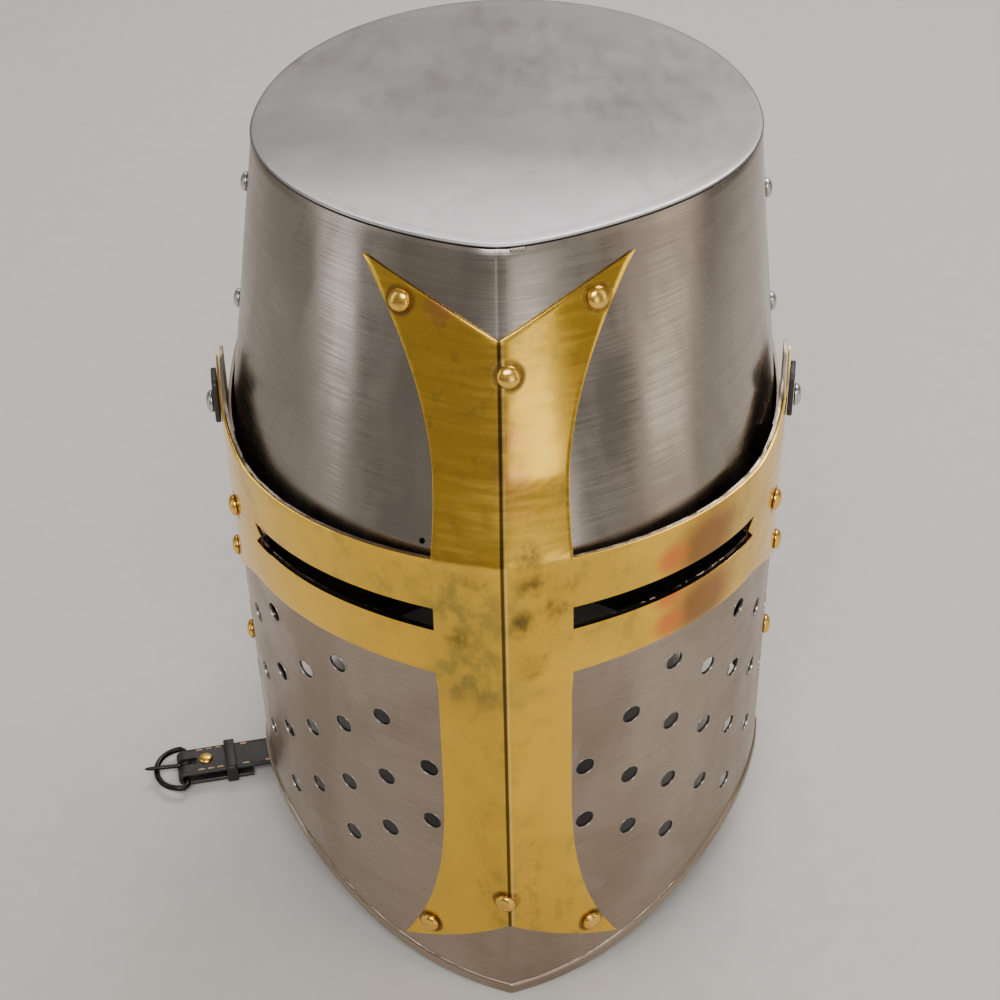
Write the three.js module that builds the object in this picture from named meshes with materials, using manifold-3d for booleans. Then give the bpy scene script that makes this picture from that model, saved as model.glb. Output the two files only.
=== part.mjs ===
// Knight's great helm: a flat-topped helm riveted from steel plates, with a brass cross on the face.
// Millimetres, +Z up. The face looks along -Y, and the origin is the middle of the head opening,
// on the surface that the helm stands on.
import * as THREE from 'three';
import Module from 'manifold-3d';

const wasm = await Module();
wasm.setup();

// ---------------------------------------------------------------- driving dimensions

const STEEL = 1.2; // plate thickness
const BRASS = 0.8; // thickness of the cross
const LEATHER = 2.2; // strap thickness
const GAP = 0.3; // clearance between pieces that touch
const ARM_GAP = 0.4; // under the arms of the cross
const BAR_GAP = 0.45; // under the upright
const LAP = STEEL + GAP; // how far a plate that tucks under another one is set in

// A level is the plan outline at one height. The front half is a rounded curve with a ridge in the
// middle, which soft blunts, and the rear half is an ellipse. The hand-made lid sits a little to the
// right, which is its shift.
const CROWN = {
  z: 320, half: 91.6, front: 93, rear: 103, ridge: 0.15, ridgePower: 2, fullness: 1, soft: 0.1, shift: 2.6,
};
const SKULL_BASE = {
  z: 222.5, half: 103.4, front: 134.5, rear: 116.8, ridge: 0.05, ridgePower: 2.3, fullness: 0.86,
  soft: 0, shift: 0,
};
const FACE_TOP = {
  z: 222.5, half: 106.5, front: 137, rear: 118.5, ridge: 0.05, ridgePower: 2.3, fullness: 0.734,
  soft: 0, shift: 0,
};
const FACE_RIM = {
  z: 0, half: 106.8, front: 134.7, rear: 118.5, ridge: 0.315, ridgePower: 0.8, fullness: 0.734,
  soft: 0, shift: 0,
};

const SKULL_TOP = CROWN.z - STEEL - GAP;
const SKULL_BOTTOM = 206;
const SKULL_SEAM = 92; // the front skull plate ends here, in degrees from the ridge
const SKULL_UNDER = 84; // and the rear one starts under it, here

const FACE_EDGE = 84; // rear edge of the face plate, in degrees from the ridge
const NECK_START = 72; // the neck plate starts under it, here
const NECK_TOP = 222;
const SIDE_RISE = 36; // how far the rim arches up at the sides
const HEM_HEIGHT = 5.5;
const HEM_PROUD = 0.9;

const BAR_HALF_TURN = 12.7; // the upright, in degrees either side of the ridge
const BAR_TOP = { notch: 291.8, tip: 310.2, flareFrom: 235, flare: 16.1, power: 2.3 };
const BAR_BOTTOM = { notch: 42, tip: 15, flareFrom: 120, flare: 10.7, power: 3 };

const ARM = {
  low: 169, high: 223.5, start: 10, flareFrom: 58, end: 82, flareDown: 30, flareUp: 17, power: 1.6,
};
const SLOT = { low: 190, high: 200.5, start: 11.5, end: 55.5, fishtail: 2.2 };

const BREATH_RADIUS = 3.9;
const BREATH_COLUMN = { first: 15.8, step: 9.9, drop: 15 }; // each column is one step back and down
const BREATH_DATUM = 116;
const BREATH_ROWS = [
  { from: 0, count: 3, rise: -29 },
  { from: 0, count: 5, rise: 0 },
  { from: 1, count: 5, rise: 33 },
  { from: 2, count: 5, rise: 66 },
  { from: 4, count: 3, rise: 99 },
];

const RIVET = { head: 4.4, dome: 2.4, shank: 2, tail: 3, tailHeight: 1 };
const SEAM_RIVET = { head: 3.8, dome: 2.3, shank: 1.8, tail: 2.8, tailHeight: 1 };
const STRAP_RIVET = { head: 3.2, dome: 1.4, shank: 1.2, tail: 2, tailHeight: 0.4 };

const TEMPLE = { turn: 78.3, z: 226 };
const TAB = { width: 13, above: 12, below: 7, thickness: 2 };

const LINER = { low: 239, high: 268, outer: -3.4, thickness: 2, tongues: 6, apexRadius: 20, apexZ: 298 };

const STRAP_WIDTH = 16;
const STRAP_BEND = 213; // height at which the right strap bends, below its rivet
const STRAP_END = 24; // height of its lower end
const STRAP_INSET = 9.8; // from the face plate's outer surface to the middle of the strap
const TAIL_ANGLE = 12; // degrees from -X towards the front
const TAIL_LENGTH = 32;
const BUCKLE = { halfLength: 12.5, reach: 13, wire: 1.3, barZ: 4.5, prong: 1 };
const FOLD = { inner: BUCKLE.wire + 0.35, skin: 1.95 }; // the strap's fold round the buckle's bar
const TAIL_HINGE = new THREE.Vector3(-116, -4, BUCKLE.barZ + FOLD.inner + FOLD.skin / 2);

// ---------------------------------------------------------------- materials

const brushedSteel = { color: 0x9a948f, roughness: 0.35, metalness: 1 };
const polishedSteel = { color: 0xb4b0b0, roughness: 0.22, metalness: 1 };
const brass = { color: 0xc79a3e, roughness: 0.28, metalness: 1 };
const blackLeather = { color: 0x1a1817, roughness: 0.6, metalness: 0 };
const blackedSteel = { color: 0x141414, roughness: 0.4, metalness: 0.9 };
const waxedCord = { color: 0x5a4632, roughness: 0.8, metalness: 0 };

const helm = new THREE.Group();

function addPiece(name, geometry, finish) {
  const mesh = new THREE.Mesh(geometry, new THREE.MeshStandardMaterial(finish));
  mesh.name = name;
  helm.add(mesh);
  return mesh;
}

// ---------------------------------------------------------------- the helm's surfaces

function blendLevels(upper, lower, z) {
  const share = Math.min((upper.z - z) / (upper.z - lower.z), 1);
  const mix = (key) => upper[key] + (lower[key] - upper[key]) * share;
  return {
    half: mix('half'), front: mix('front'), rear: mix('rear'),
    ridge: mix('ridge'), ridgePower: mix('ridgePower'), fullness: mix('fullness'),
    soft: mix('soft'), shift: mix('shift'),
  };
}

function skullLevel(z) {
  return blendLevels(CROWN, SKULL_BASE, z);
}

function faceLevel(z) {
  return blendLevels(FACE_TOP, FACE_RIM, Math.min(z, FACE_TOP.z));
}

// A point of the plan outline. The turn is in degrees: 0 on the ridge, 90 on the +X side.
function outlinePoint(level, turn) {
  const angle = THREE.MathUtils.degToRad(turn);
  const side = Math.abs(Math.sin(angle));
  const ahead = Math.cos(angle);
  const aside = ahead <= 0 ? 1 : THREE.MathUtils.smoothstep(side, 0.35, 1);
  const x = level.half * Math.sin(angle) + level.shift * aside;
  if (ahead <= 0) {
    return new THREE.Vector2(x, -level.rear * ahead);
  }
  const round = (1 - level.ridge) * ahead ** level.fullness;
  const keel = level.ridge * (1 - Math.min(Math.hypot(side, level.soft), 1)) ** level.ridgePower;
  return new THREE.Vector2(x, -level.front * (round + keel));
}

function outwardAt(level, turn) {
  const step = 0.2;
  const along = outlinePoint(level, turn + step).sub(outlinePoint(level, turn - step)).normalize();
  return new THREE.Vector2(along.y, -along.x);
}

// A point on a surface, moved out level with the ground by lift.
function onSurface(levelOf, turn, z, lift = 0) {
  const level = levelOf(z);
  const point = outlinePoint(level, turn).addScaledVector(outwardAt(level, turn), lift);
  return new THREE.Vector3(point.x, point.y, z);
}

// The point and the outward direction that a rivet or a hole follows.
function axisAt(levelOf, turn, z) {
  const across = onSurface(levelOf, turn + 0.2, z).sub(onSurface(levelOf, turn - 0.2, z));
  const up = onSurface(levelOf, turn, z + 0.5).sub(onSurface(levelOf, turn, z - 0.5));
  const direction = across.cross(up).normalize();
  return { point: onSurface(levelOf, turn, z), direction };
}

// The temple fastener stands square to the plate, level with the ground.
function templeAxis(sign) {
  const axis = axisAt(faceLevel, sign * TEMPLE.turn, FACE_TOP.z - 1);
  axis.point.setZ(TEMPLE.z);
  axis.direction.setZ(0).normalize();
  return axis;
}

// ---------------------------------------------------------------- mesh helpers

function meshFrom(points, triangles) {
  const geometry = new THREE.BufferGeometry();
  geometry.setAttribute('position', new THREE.Float32BufferAttribute(points.flatMap((p) => p.toArray()), 3));
  geometry.setIndex(triangles);
  geometry.computeVertexNormals();
  return geometry;
}

function addQuad(triangles, a, b, c, d) {
  triangles.push(a, b, c, a, c, d);
}

// A closed sheet between two faces. Both faces are functions of u (turning left) and v (up).
function sheet(outer, inner, columns, rows) {
  const points = [];
  for (const face of [outer, inner]) {
    for (let j = 0; j <= rows; j += 1) {
      for (let i = 0; i <= columns; i += 1) {
        points.push(face(i / columns, j / rows));
      }
    }
  }
  const half = (columns + 1) * (rows + 1);
  const at = (side, i, j) => side * half + j * (columns + 1) + i;
  const triangles = [];
  for (let j = 0; j < rows; j += 1) {
    for (let i = 0; i < columns; i += 1) {
      addQuad(triangles, at(0, i, j), at(0, i + 1, j), at(0, i + 1, j + 1), at(0, i, j + 1));
      addQuad(triangles, at(1, i, j), at(1, i, j + 1), at(1, i + 1, j + 1), at(1, i + 1, j));
    }
  }
  for (let i = 0; i < columns; i += 1) {
    addQuad(triangles, at(0, i, 0), at(1, i, 0), at(1, i + 1, 0), at(0, i + 1, 0));
    addQuad(triangles, at(0, i, rows), at(0, i + 1, rows), at(1, i + 1, rows), at(1, i, rows));
  }
  for (let j = 0; j < rows; j += 1) {
    addQuad(triangles, at(0, 0, j), at(0, 0, j + 1), at(1, 0, j + 1), at(1, 0, j));
    addQuad(triangles, at(0, columns, j), at(1, columns, j), at(1, columns, j + 1), at(0, columns, j + 1));
  }
  return meshFrom(points, triangles);
}

// Closed loops of points, one after the other, skinned into a body. With caps the first and last
// loops are closed by a point in their middle; without, the last loop joins the first.
function skin(loops, capped) {
  const size = loops[0].length;
  const points = loops.flat();
  const triangles = [];
  const bands = capped ? loops.length - 1 : loops.length;
  for (let j = 0; j < bands; j += 1) {
    const next = (j + 1) % loops.length;
    for (let i = 0; i < size; i += 1) {
      const k = (i + 1) % size;
      addQuad(triangles, j * size + i, j * size + k, next * size + k, next * size + i);
    }
  }
  if (capped) {
    for (const [loop, flip] of [[0, true], [loops.length - 1, false]]) {
      const middle = new THREE.Vector3();
      loops[loop].forEach((p) => middle.addScaledVector(p, 1 / size));
      const centre = points.push(middle) - 1;
      for (let i = 0; i < size; i += 1) {
        const a = loop * size + i;
        const b = loop * size + ((i + 1) % size);
        triangles.push(...(flip ? [centre, b, a] : [centre, a, b]));
      }
    }
  }
  return meshFrom(points, triangles);
}

function toSolid(geometry) {
  const mesh = new wasm.Mesh({
    numProp: 3,
    vertProperties: new Float32Array(geometry.attributes.position.array),
    triVerts: new Uint32Array(geometry.index.array),
  });
  return new wasm.Manifold(mesh);
}

function fromSolid(solid) {
  const mesh = solid.getMesh();
  const geometry = new THREE.BufferGeometry();
  geometry.setAttribute('position', new THREE.BufferAttribute(mesh.vertProperties, 3));
  geometry.setIndex(new THREE.BufferAttribute(mesh.triVerts, 1));
  geometry.computeVertexNormals();
  return geometry;
}

function cut(geometry, tools) {
  let solid = toSolid(geometry);
  for (const tool of tools) {
    solid = solid.subtract(toSolid(tool));
  }
  return fromSolid(solid);
}

const Z_AXIS = new THREE.Vector3(0, 0, 1);

// Rings of a turned piece, given as radius and height pairs along an axis.
function turned(profile, sides, axis) {
  const spin = new THREE.Quaternion().setFromUnitVectors(Z_AXIS, axis.direction);
  const loops = profile.map(([radius, height]) => {
    const loop = [];
    for (let i = 0; i < sides; i += 1) {
      const angle = (i / sides) * 2 * Math.PI;
      const p = new THREE.Vector3(radius * Math.cos(angle), radius * Math.sin(angle), height);
      loop.push(p.applyQuaternion(spin).add(axis.point));
    }
    return loop;
  });
  return skin(loops, true);
}

function drill(axis, radius, sides) {
  return turned([[radius, -14], [radius, 6]], sides, axis);
}

// ---------------------------------------------------------------- rivets

const SHANK_CLEARANCE = 0.3;

// seat: height of the head's underside over the surface. grip: length of shank under the head.
function rivetBody(size, seat, grip, axis) {
  const tailTop = seat - grip;
  return turned([
    [size.tail * 0.75, tailTop - size.tailHeight],
    [size.tail, tailTop],
    [size.shank, tailTop],
    [size.shank, seat],
    [size.head, seat],
    [size.head * 0.8, seat + size.dome * 0.7],
    [size.head * 0.34, seat + size.dome],
  ], 8, axis);
}

const barSeat = BAR_GAP + BRASS + GAP;
const armSeat = ARM_GAP + BRASS + GAP;
const templeSeat = armSeat + TAB.thickness + GAP;

// Every rivet, with the plates that it passes through.
const rivets = [];

function addRivet(name, finish, size, axis, seat, grip, plates) {
  rivets.push({ name, finish, size, axis, seat, grip, plates });
}

function onSkull(turn, z) {
  return axisAt(skullLevel, turn, z);
}

function onFace(turn, z) {
  return axisAt(faceLevel, turn, z);
}

const SEAM_RIVET_HEIGHTS = { left: [296.8, 248.3], right: [291.5, 244] };

for (const [side, sign] of [['left', -1], ['right', 1]]) {
  const [seamUpper, seamLower] = SEAM_RIVET_HEIGHTS[side];
  addRivet(`upright_rivet_top_${side}`, brass, RIVET, onSkull(sign * 19.9, 299), barSeat, 3.5,
    ['upright', 'skull_front']);
  addRivet(`upright_rivet_bottom_${side}`, brass, RIVET, onFace(sign * 17.1, 29), barSeat, 3.5,
    ['upright', 'face']);
  addRivet(`arm_rivet_front_${side}`, brass, RIVET, onFace(sign * 69.8, 190), armSeat, 4.1,
    [`arm_${side}`, 'face']);
  addRivet(`arm_rivet_rear_${side}`, brass, RIVET, onFace(sign * 77.5, 156), armSeat, 5,
    [`arm_${side}`, 'face', 'neck']);
  addRivet(`face_rivet_${side}`, brass, RIVET, onFace(sign * 78.4, 108), GAP, 3.7,
    ['face', 'neck']);
  addRivet(`temple_rivet_${side}`, polishedSteel, RIVET, templeAxis(sign),
    templeSeat, templeSeat + STRAP_INSET + LEATHER / 2 + GAP,
    [`arm_${side}`, 'face', 'skull_front', `tab_${side}`, `strap_${side}`]);
  addRivet(`seam_rivet_upper_${side}`, polishedSteel, SEAM_RIVET, onSkull(sign * 88.5, seamUpper), GAP, 3.7,
    ['skull_front', 'skull_rear']);
  addRivet(`seam_rivet_lower_${side}`, polishedSteel, SEAM_RIVET, onSkull(sign * 88.5, seamLower), GAP, 6.4,
    ['skull_front', 'skull_rear', 'liner']);
  addRivet(`neck_rivet_${side}`, polishedSteel, SEAM_RIVET, onFace(sign * 140, 214), GAP - LAP, 5,
    ['neck', 'skull_rear']);
}
addRivet('upright_rivet_top_centre', brass, RIVET, onSkull(1.7, 280.7), barSeat, 4.4,
  ['upright', 'skull_front']);
addRivet('upright_rivet_bottom_centre', brass, RIVET, onFace(-0.5, 56), barSeat, 4.9,
  ['upright', 'face']);
addRivet('neck_rivet_centre', polishedSteel, SEAM_RIVET, onFace(180, 214), GAP - LAP, 4.3,
  ['neck', 'skull_rear']);

function rivetHoles(plate) {
  return rivets
    .filter((rivet) => rivet.plates.includes(plate))
    .map((rivet) => drill(rivet.axis, rivet.size.shank + SHANK_CLEARANCE, 8));
}

for (const rivet of rivets) {
  addPiece(rivet.name, rivetBody(rivet.size, rivet.seat, rivet.grip, rivet.axis), rivet.finish);
}

// ---------------------------------------------------------------- top plate

// A flat pan: the lid of the helm, with a flange turned down inside the skull.
function topPlate() {
  const sides = 48;
  const under = CROWN.z - STEEL;
  const flange = 7.5;
  const ring = (inset, z) => {
    const loop = [];
    for (let i = 0; i < sides; i += 1) {
      const turn = (i / sides) * 360 - 180;
      const point = outlinePoint(CROWN, turn).addScaledVector(outwardAt(CROWN, turn), -inset);
      loop.push(new THREE.Vector3(point.x, point.y, z));
    }
    return loop;
  };
  const rings = [
    ring(4.6, under), ring(4.6, under - flange), ring(3.4, under - flange), ring(3.4, under),
    ring(-0.5, under), ring(-0.5, CROWN.z - 0.5), ring(0.3, CROWN.z),
  ];
  return skin(rings, true);
}

addPiece('top_plate', topPlate(), polishedSteel);

// ---------------------------------------------------------------- skull plates

function skullPlate(from, to, columns, lift) {
  const place = (extra) => (u, v) => {
    const z = THREE.MathUtils.lerp(SKULL_BOTTOM, SKULL_TOP, v);
    return onSurface(skullLevel, THREE.MathUtils.lerp(from, to, u), z, lift + extra);
  };
  return sheet(place(0), place(-STEEL), columns, 4);
}

addPiece('skull_front_plate',
  cut(skullPlate(-SKULL_SEAM, SKULL_SEAM, 40, 0), rivetHoles('skull_front')), polishedSteel);
addPiece('skull_rear_plate',
  cut(skullPlate(SKULL_UNDER, 360 - SKULL_UNDER, 34, -LAP), rivetHoles('skull_rear')), polishedSteel);

// ---------------------------------------------------------------- face plate

// Height of the rim: it dips to a point in front, arches up at the sides, and is level behind.
function rimHeight(turn) {
  const away = Math.abs(turn);
  if (away < 90) {
    const share = Math.min(away / 78, 1);
    return SIDE_RISE * (0.5 - 0.5 * Math.cos(Math.PI * share)) ** 1.15;
  }
  const share = Math.min((away - 90) / 54, 1);
  return SIDE_RISE * (0.5 + 0.5 * Math.cos(Math.PI * share));
}

// How far the arms have flared, from 0 to 1 at their ends.
function armSpread(turn) {
  const share = Math.max((Math.abs(turn) - ARM.flareFrom) / (ARM.end - ARM.flareFrom), 0);
  return share ** ARM.power;
}

// Heights of a plate's rows over one point of the rim. The folded hem takes the first two.
function plateLevels(turn, top) {
  const rim = rimHeight(turn);
  const hemTop = rim + HEM_HEIGHT;
  const third = (top - hemTop) / 3;
  return [rim, hemTop, hemTop + 1, hemTop + third, hemTop + 2 * third, top];
}

function facePlate() {
  const place = (side) => (u, v) => {
    const turn = THREE.MathUtils.lerp(-FACE_EDGE, FACE_EDGE, u);
    const spread = armSpread(Math.min(Math.abs(turn), ARM.end));
    const levels = [...plateLevels(turn, FACE_TOP.z), ARM.high - 0.5 + ARM.flareUp * spread];
    const row = Math.round(v * 6);
    const proud = row < 2 ? HEM_PROUD : 0;
    return onSurface(faceLevel, turn, levels[row], side === 'outer' ? proud : -STEEL);
  };
  return sheet(place('outer'), place('inner'), 44, 6);
}

function breathHoles() {
  const holes = [];
  for (const sign of [-1, 1]) {
    for (const row of BREATH_ROWS) {
      for (let column = row.from; column < row.from + row.count; column += 1) {
        const turn = BREATH_COLUMN.first + column * BREATH_COLUMN.step;
        const z = BREATH_DATUM + row.rise - column * BREATH_COLUMN.drop;
        holes.push(drill(axisAt(faceLevel, sign * turn, z), BREATH_RADIUS, 6));
      }
    }
  }
  return holes;
}

// The eye slot, as the solid that is taken out of the plates. Its outer end is a shallow fishtail.
function eyeSlot(sign) {
  const place = (lift) => (u, v) => {
    const end = SLOT.end + SLOT.fishtail * Math.abs(2 * v - 1);
    const share = sign < 0 ? 1 - u : u;
    const turn = sign * THREE.MathUtils.lerp(SLOT.start, end, share);
    return onSurface(faceLevel, turn, THREE.MathUtils.lerp(SLOT.low, SLOT.high, v), lift);
  };
  return sheet(place(5), place(-5), 10, 2);
}

addPiece('face_plate',
  cut(facePlate(), [...breathHoles(), eyeSlot(-1), eyeSlot(1), ...rivetHoles('face')]), brushedSteel);

// ---------------------------------------------------------------- neck plate

function neckPlate() {
  const place = (side) => (u, v) => {
    const turn = THREE.MathUtils.lerp(NECK_START, 360 - NECK_START, u);
    const levels = plateLevels(180 - Math.abs(180 - turn), NECK_TOP);
    const row = Math.round(v * 5);
    const hem = row < 2 ? HEM_PROUD : 0;
    return onSurface(faceLevel, turn, levels[row], side === 'outer' ? -LAP : -LAP - STEEL - hem);
  };
  return sheet(place('outer'), place('inner'), 40, 5);
}

addPiece('neck_plate', cut(neckPlate(), [...breathHoles(), ...rivetHoles('neck')]), brushedSteel);

// ---------------------------------------------------------------- brass cross

// The upright lies on the skull above the arms, steps over them, and lies on the face plate below.
function uprightPoint(turn, z, lift) {
  const onFace = onSurface(faceLevel, turn, z, BAR_GAP + lift);
  const onArm = onSurface(faceLevel, turn, z, ARM_GAP + BRASS + GAP + lift);
  const onSkull = onSurface(skullLevel, turn, z, BAR_GAP + lift);
  const lower = onFace.lerp(onArm, THREE.MathUtils.smoothstep(z, 158, 167));
  return lower.lerp(onSkull, THREE.MathUtils.smoothstep(z, 225, 241));
}

function uprightEdge(z) {
  const up = Math.max((z - BAR_TOP.flareFrom) / (BAR_TOP.tip - BAR_TOP.flareFrom), 0);
  const down = Math.max((BAR_BOTTOM.flareFrom - z) / (BAR_BOTTOM.flareFrom - BAR_BOTTOM.tip), 0);
  return BAR_HALF_TURN + BAR_TOP.flare * up ** BAR_TOP.power + BAR_BOTTOM.flare * down ** BAR_BOTTOM.power;
}

// Heights at which the upright bends. Its notched ends are two rows each, beyond these.
const UPRIGHT_LEVELS = [55, 80, 112, 158, 167, 196, 225, 233, 241, 255, 270];

function uprightBar() {
  const rows = UPRIGHT_LEVELS.length + 3;
  const place = (lift) => (u, v) => {
    const across = 2 * u - 1;
    const top = THREE.MathUtils.lerp(BAR_TOP.notch, BAR_TOP.tip, Math.abs(across));
    const bottom = THREE.MathUtils.lerp(BAR_BOTTOM.notch, BAR_BOTTOM.tip, Math.abs(across));
    const levels = [
      bottom, (bottom + UPRIGHT_LEVELS[0]) / 2, ...UPRIGHT_LEVELS,
      (UPRIGHT_LEVELS.at(-1) + top) / 2, top,
    ];
    const z = levels[Math.round(v * rows)];
    return uprightPoint(across * uprightEdge(z), z, lift);
  };
  return sheet(place(BRASS), place(0), 10, rows);
}

addPiece('upright_bar', cut(uprightBar(), rivetHoles('upright')), brass);

// One arm of the cross. It flares at the temple, where its end is notched.
function crossArm(sign) {
  const place = (lift) => (u, v) => {
    const share = sign < 0 ? 1 - u : u;
    const end = ARM.end - 3 * (1 - Math.abs(2 * v - 1));
    const turn = THREE.MathUtils.lerp(ARM.start, end, share);
    const spread = armSpread(turn);
    const levels = [
      ARM.low - ARM.flareDown * spread, ARM.low + 6, SLOT.low, SLOT.high, FACE_TOP.z,
      ARM.high + ARM.flareUp * spread,
    ];
    return onSurface(faceLevel, sign * turn, levels[Math.round(v * 5)], ARM_GAP + lift);
  };
  return sheet(place(BRASS), place(0), 20, 5);
}

for (const [side, sign] of [['left', -1], ['right', 1]]) {
  addPiece(`cross_arm_${side}`, cut(crossArm(sign), [eyeSlot(sign), ...rivetHoles(`arm_${side}`)]), brass);
}

// ---------------------------------------------------------------- leather tabs at the temples

function templeTab(sign) {
  const axis = templeAxis(sign);
  const across = new THREE.Vector3().crossVectors(Z_AXIS, axis.direction);
  const place = (lift) => (u, v) => axis.point.clone()
    .addScaledVector(across, (u - 0.5) * TAB.width)
    .addScaledVector(Z_AXIS, THREE.MathUtils.lerp(-TAB.below, TAB.above, v))
    .addScaledVector(axis.direction, armSeat + lift);
  return sheet(place(TAB.thickness), place(0), 1, 1);
}

for (const [side, sign] of [['left', -1], ['right', 1]]) {
  addPiece(`temple_tab_${side}`, cut(templeTab(sign), rivetHoles(`tab_${side}`)), blackLeather);
}

// ---------------------------------------------------------------- liner

function linerBand() {
  const sides = 40;
  const ring = (lift, z) => {
    const loop = [];
    for (let i = 0; i < sides; i += 1) {
      loop.push(onSurface(skullLevel, (i / sides) * 360, z, lift));
    }
    return loop;
  };
  const inner = LINER.outer - LINER.thickness;
  return skin([
    ring(LINER.outer, LINER.low), ring(LINER.outer, LINER.high),
    ring(inner, LINER.high), ring(inner, LINER.low),
  ], false);
}

// A tongue lies against the band, then rises to the lace in a quarter round.
function linerTongue(index) {
  const middle = ((index + 0.5) / LINER.tongues) * 360;
  const start = LINER.high - 8;
  const shoulder = LINER.high + 1;
  const place = (thickness) => (u, v) => {
    const row = Math.round(v * 6);
    const lean = (Math.max(row - 1, 0) / 5) * (Math.PI / 2);
    const turn = middle + (2 * u - 1) * THREE.MathUtils.lerp(25, 17, v);
    const inset = LINER.outer - LINER.thickness - 0.5 - thickness;
    const foot = onSurface(skullLevel, turn, row === 0 ? start : shoulder, inset);
    const angle = THREE.MathUtils.degToRad(turn);
    const tip = new THREE.Vector3(Math.sin(angle), -Math.cos(angle), 0).multiplyScalar(LINER.apexRadius);
    const point = foot.clone().lerp(tip, 1 - Math.cos(lean));
    const rise = (LINER.apexZ - shoulder - thickness) * Math.sin(lean);
    return point.setZ(foot.z + rise);
  };
  return sheet(place(0), place(1.6), 4, 6);
}

addPiece('liner_band', cut(linerBand(), rivetHoles('liner')), blackLeather);
for (let i = 0; i < LINER.tongues; i += 1) {
  addPiece(`liner_tongue_${i + 1}`, linerTongue(i), blackLeather);
}

// ---------------------------------------------------------------- wire and cord rings

// A closed ring of round section along a flat loop of points.
function wireRing(path, radius, sides, up) {
  const loops = path.map((point, i) => {
    const before = path[(i + path.length - 1) % path.length];
    const after = path[(i + 1) % path.length];
    const along = after.clone().sub(before).normalize();
    const out = new THREE.Vector3().crossVectors(up, along).normalize();
    const loop = [];
    for (let k = 0; k < sides; k += 1) {
      const angle = (k / sides) * 2 * Math.PI;
      loop.push(point.clone()
        .addScaledVector(out, radius * Math.cos(angle))
        .addScaledVector(up, radius * Math.sin(angle)));
    }
    return loop;
  });
  return skin(loops, false);
}

function linerLace() {
  const path = [];
  for (let i = 0; i < 24; i += 1) {
    const angle = (i / 24) * 2 * Math.PI;
    const radius = LINER.apexRadius + 4;
    path.push(new THREE.Vector3(radius * Math.cos(angle), radius * Math.sin(angle), LINER.apexZ + 2.2));
  }
  return wireRing(path, 1.5, 6, Z_AXIS);
}

addPiece('liner_lace', linerLace(), waxedCord);

// ---------------------------------------------------------------- chin strap, left

// A flat strap along a path. Each station is a point, the way to the next one, and the strap's width.
function strapAlong(stations) {
  const loops = stations.map(({ point, along, across }) => {
    const face = new THREE.Vector3().crossVectors(along, across).normalize();
    return [[-1, -1], [1, -1], [1, 1], [-1, 1]].map(([a, b]) => point.clone()
      .addScaledVector(across, (a * STRAP_WIDTH) / 2)
      .addScaledVector(face, (b * LEATHER) / 2));
  });
  return skin(loops, true);
}

// Where the strap hangs from, on the inside end of the temple rivet.
function strapHead(sign) {
  const { point, direction } = templeAxis(sign);
  return {
    point: point.addScaledVector(direction, -STRAP_INSET),
    out: direction,
    across: new THREE.Vector3().crossVectors(Z_AXIS, direction),
  };
}

const tailAngle = THREE.MathUtils.degToRad(TAIL_ANGLE);
const tailAlong = new THREE.Vector3(-Math.cos(tailAngle), -Math.sin(tailAngle), 0);
const tailAcross = new THREE.Vector3(Math.sin(tailAngle), -Math.cos(tailAngle), 0);

// From the temple down the inside of the neck plate, and out under the rim.
function chinStrapLeft() {
  const head = strapHead(-1);
  const topAcross = head.across.clone();
  if (topAcross.dot(tailAcross) < 0) {
    topAcross.negate();
  }
  const route = [
    head.point.clone().setZ(TEMPLE.z + 7),
    head.point.clone().setZ(TEMPLE.z - 9),
    new THREE.Vector3(-96.6, -33, 190),
    new THREE.Vector3(-98.2, -18, 110),
    new THREE.Vector3(-98.6, -8, 55),
    new THREE.Vector3(-98.2, -4, 28),
    new THREE.Vector3(-99.6, -3, 14),
    new THREE.Vector3(-104, -3.2, 8),
    TAIL_HINGE.clone().addScaledVector(tailAlong, -6),
    TAIL_HINGE.clone().addScaledVector(tailAlong, -1),
  ];
  const stations = route.map((point, i) => {
    const before = route[Math.max(i - 1, 0)];
    const after = route[Math.min(i + 1, route.length - 1)];
    const along = after.clone().sub(before).normalize();
    const across = topAcross.clone().lerp(tailAcross, Math.min(i / 5, 1));
    across.addScaledVector(along, -across.dot(along)).normalize();
    return { point, along, across };
  });
  return strapAlong(stations);
}

addPiece('chin_strap_left', cut(chinStrapLeft(), rivetHoles('strap_left')), blackLeather);

// A point of the strap's tail: distance from its bend, across it, and height.
function tailPoint(distance, across, z) {
  return TAIL_HINGE.clone().setZ(z)
    .addScaledVector(tailAlong, distance)
    .addScaledVector(tailAcross, across);
}

const foldTop = BUCKLE.barZ + FOLD.inner + FOLD.skin;
const tailRivetAxis = { point: tailPoint(22.5, 0, foldTop), direction: Z_AXIS };

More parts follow.
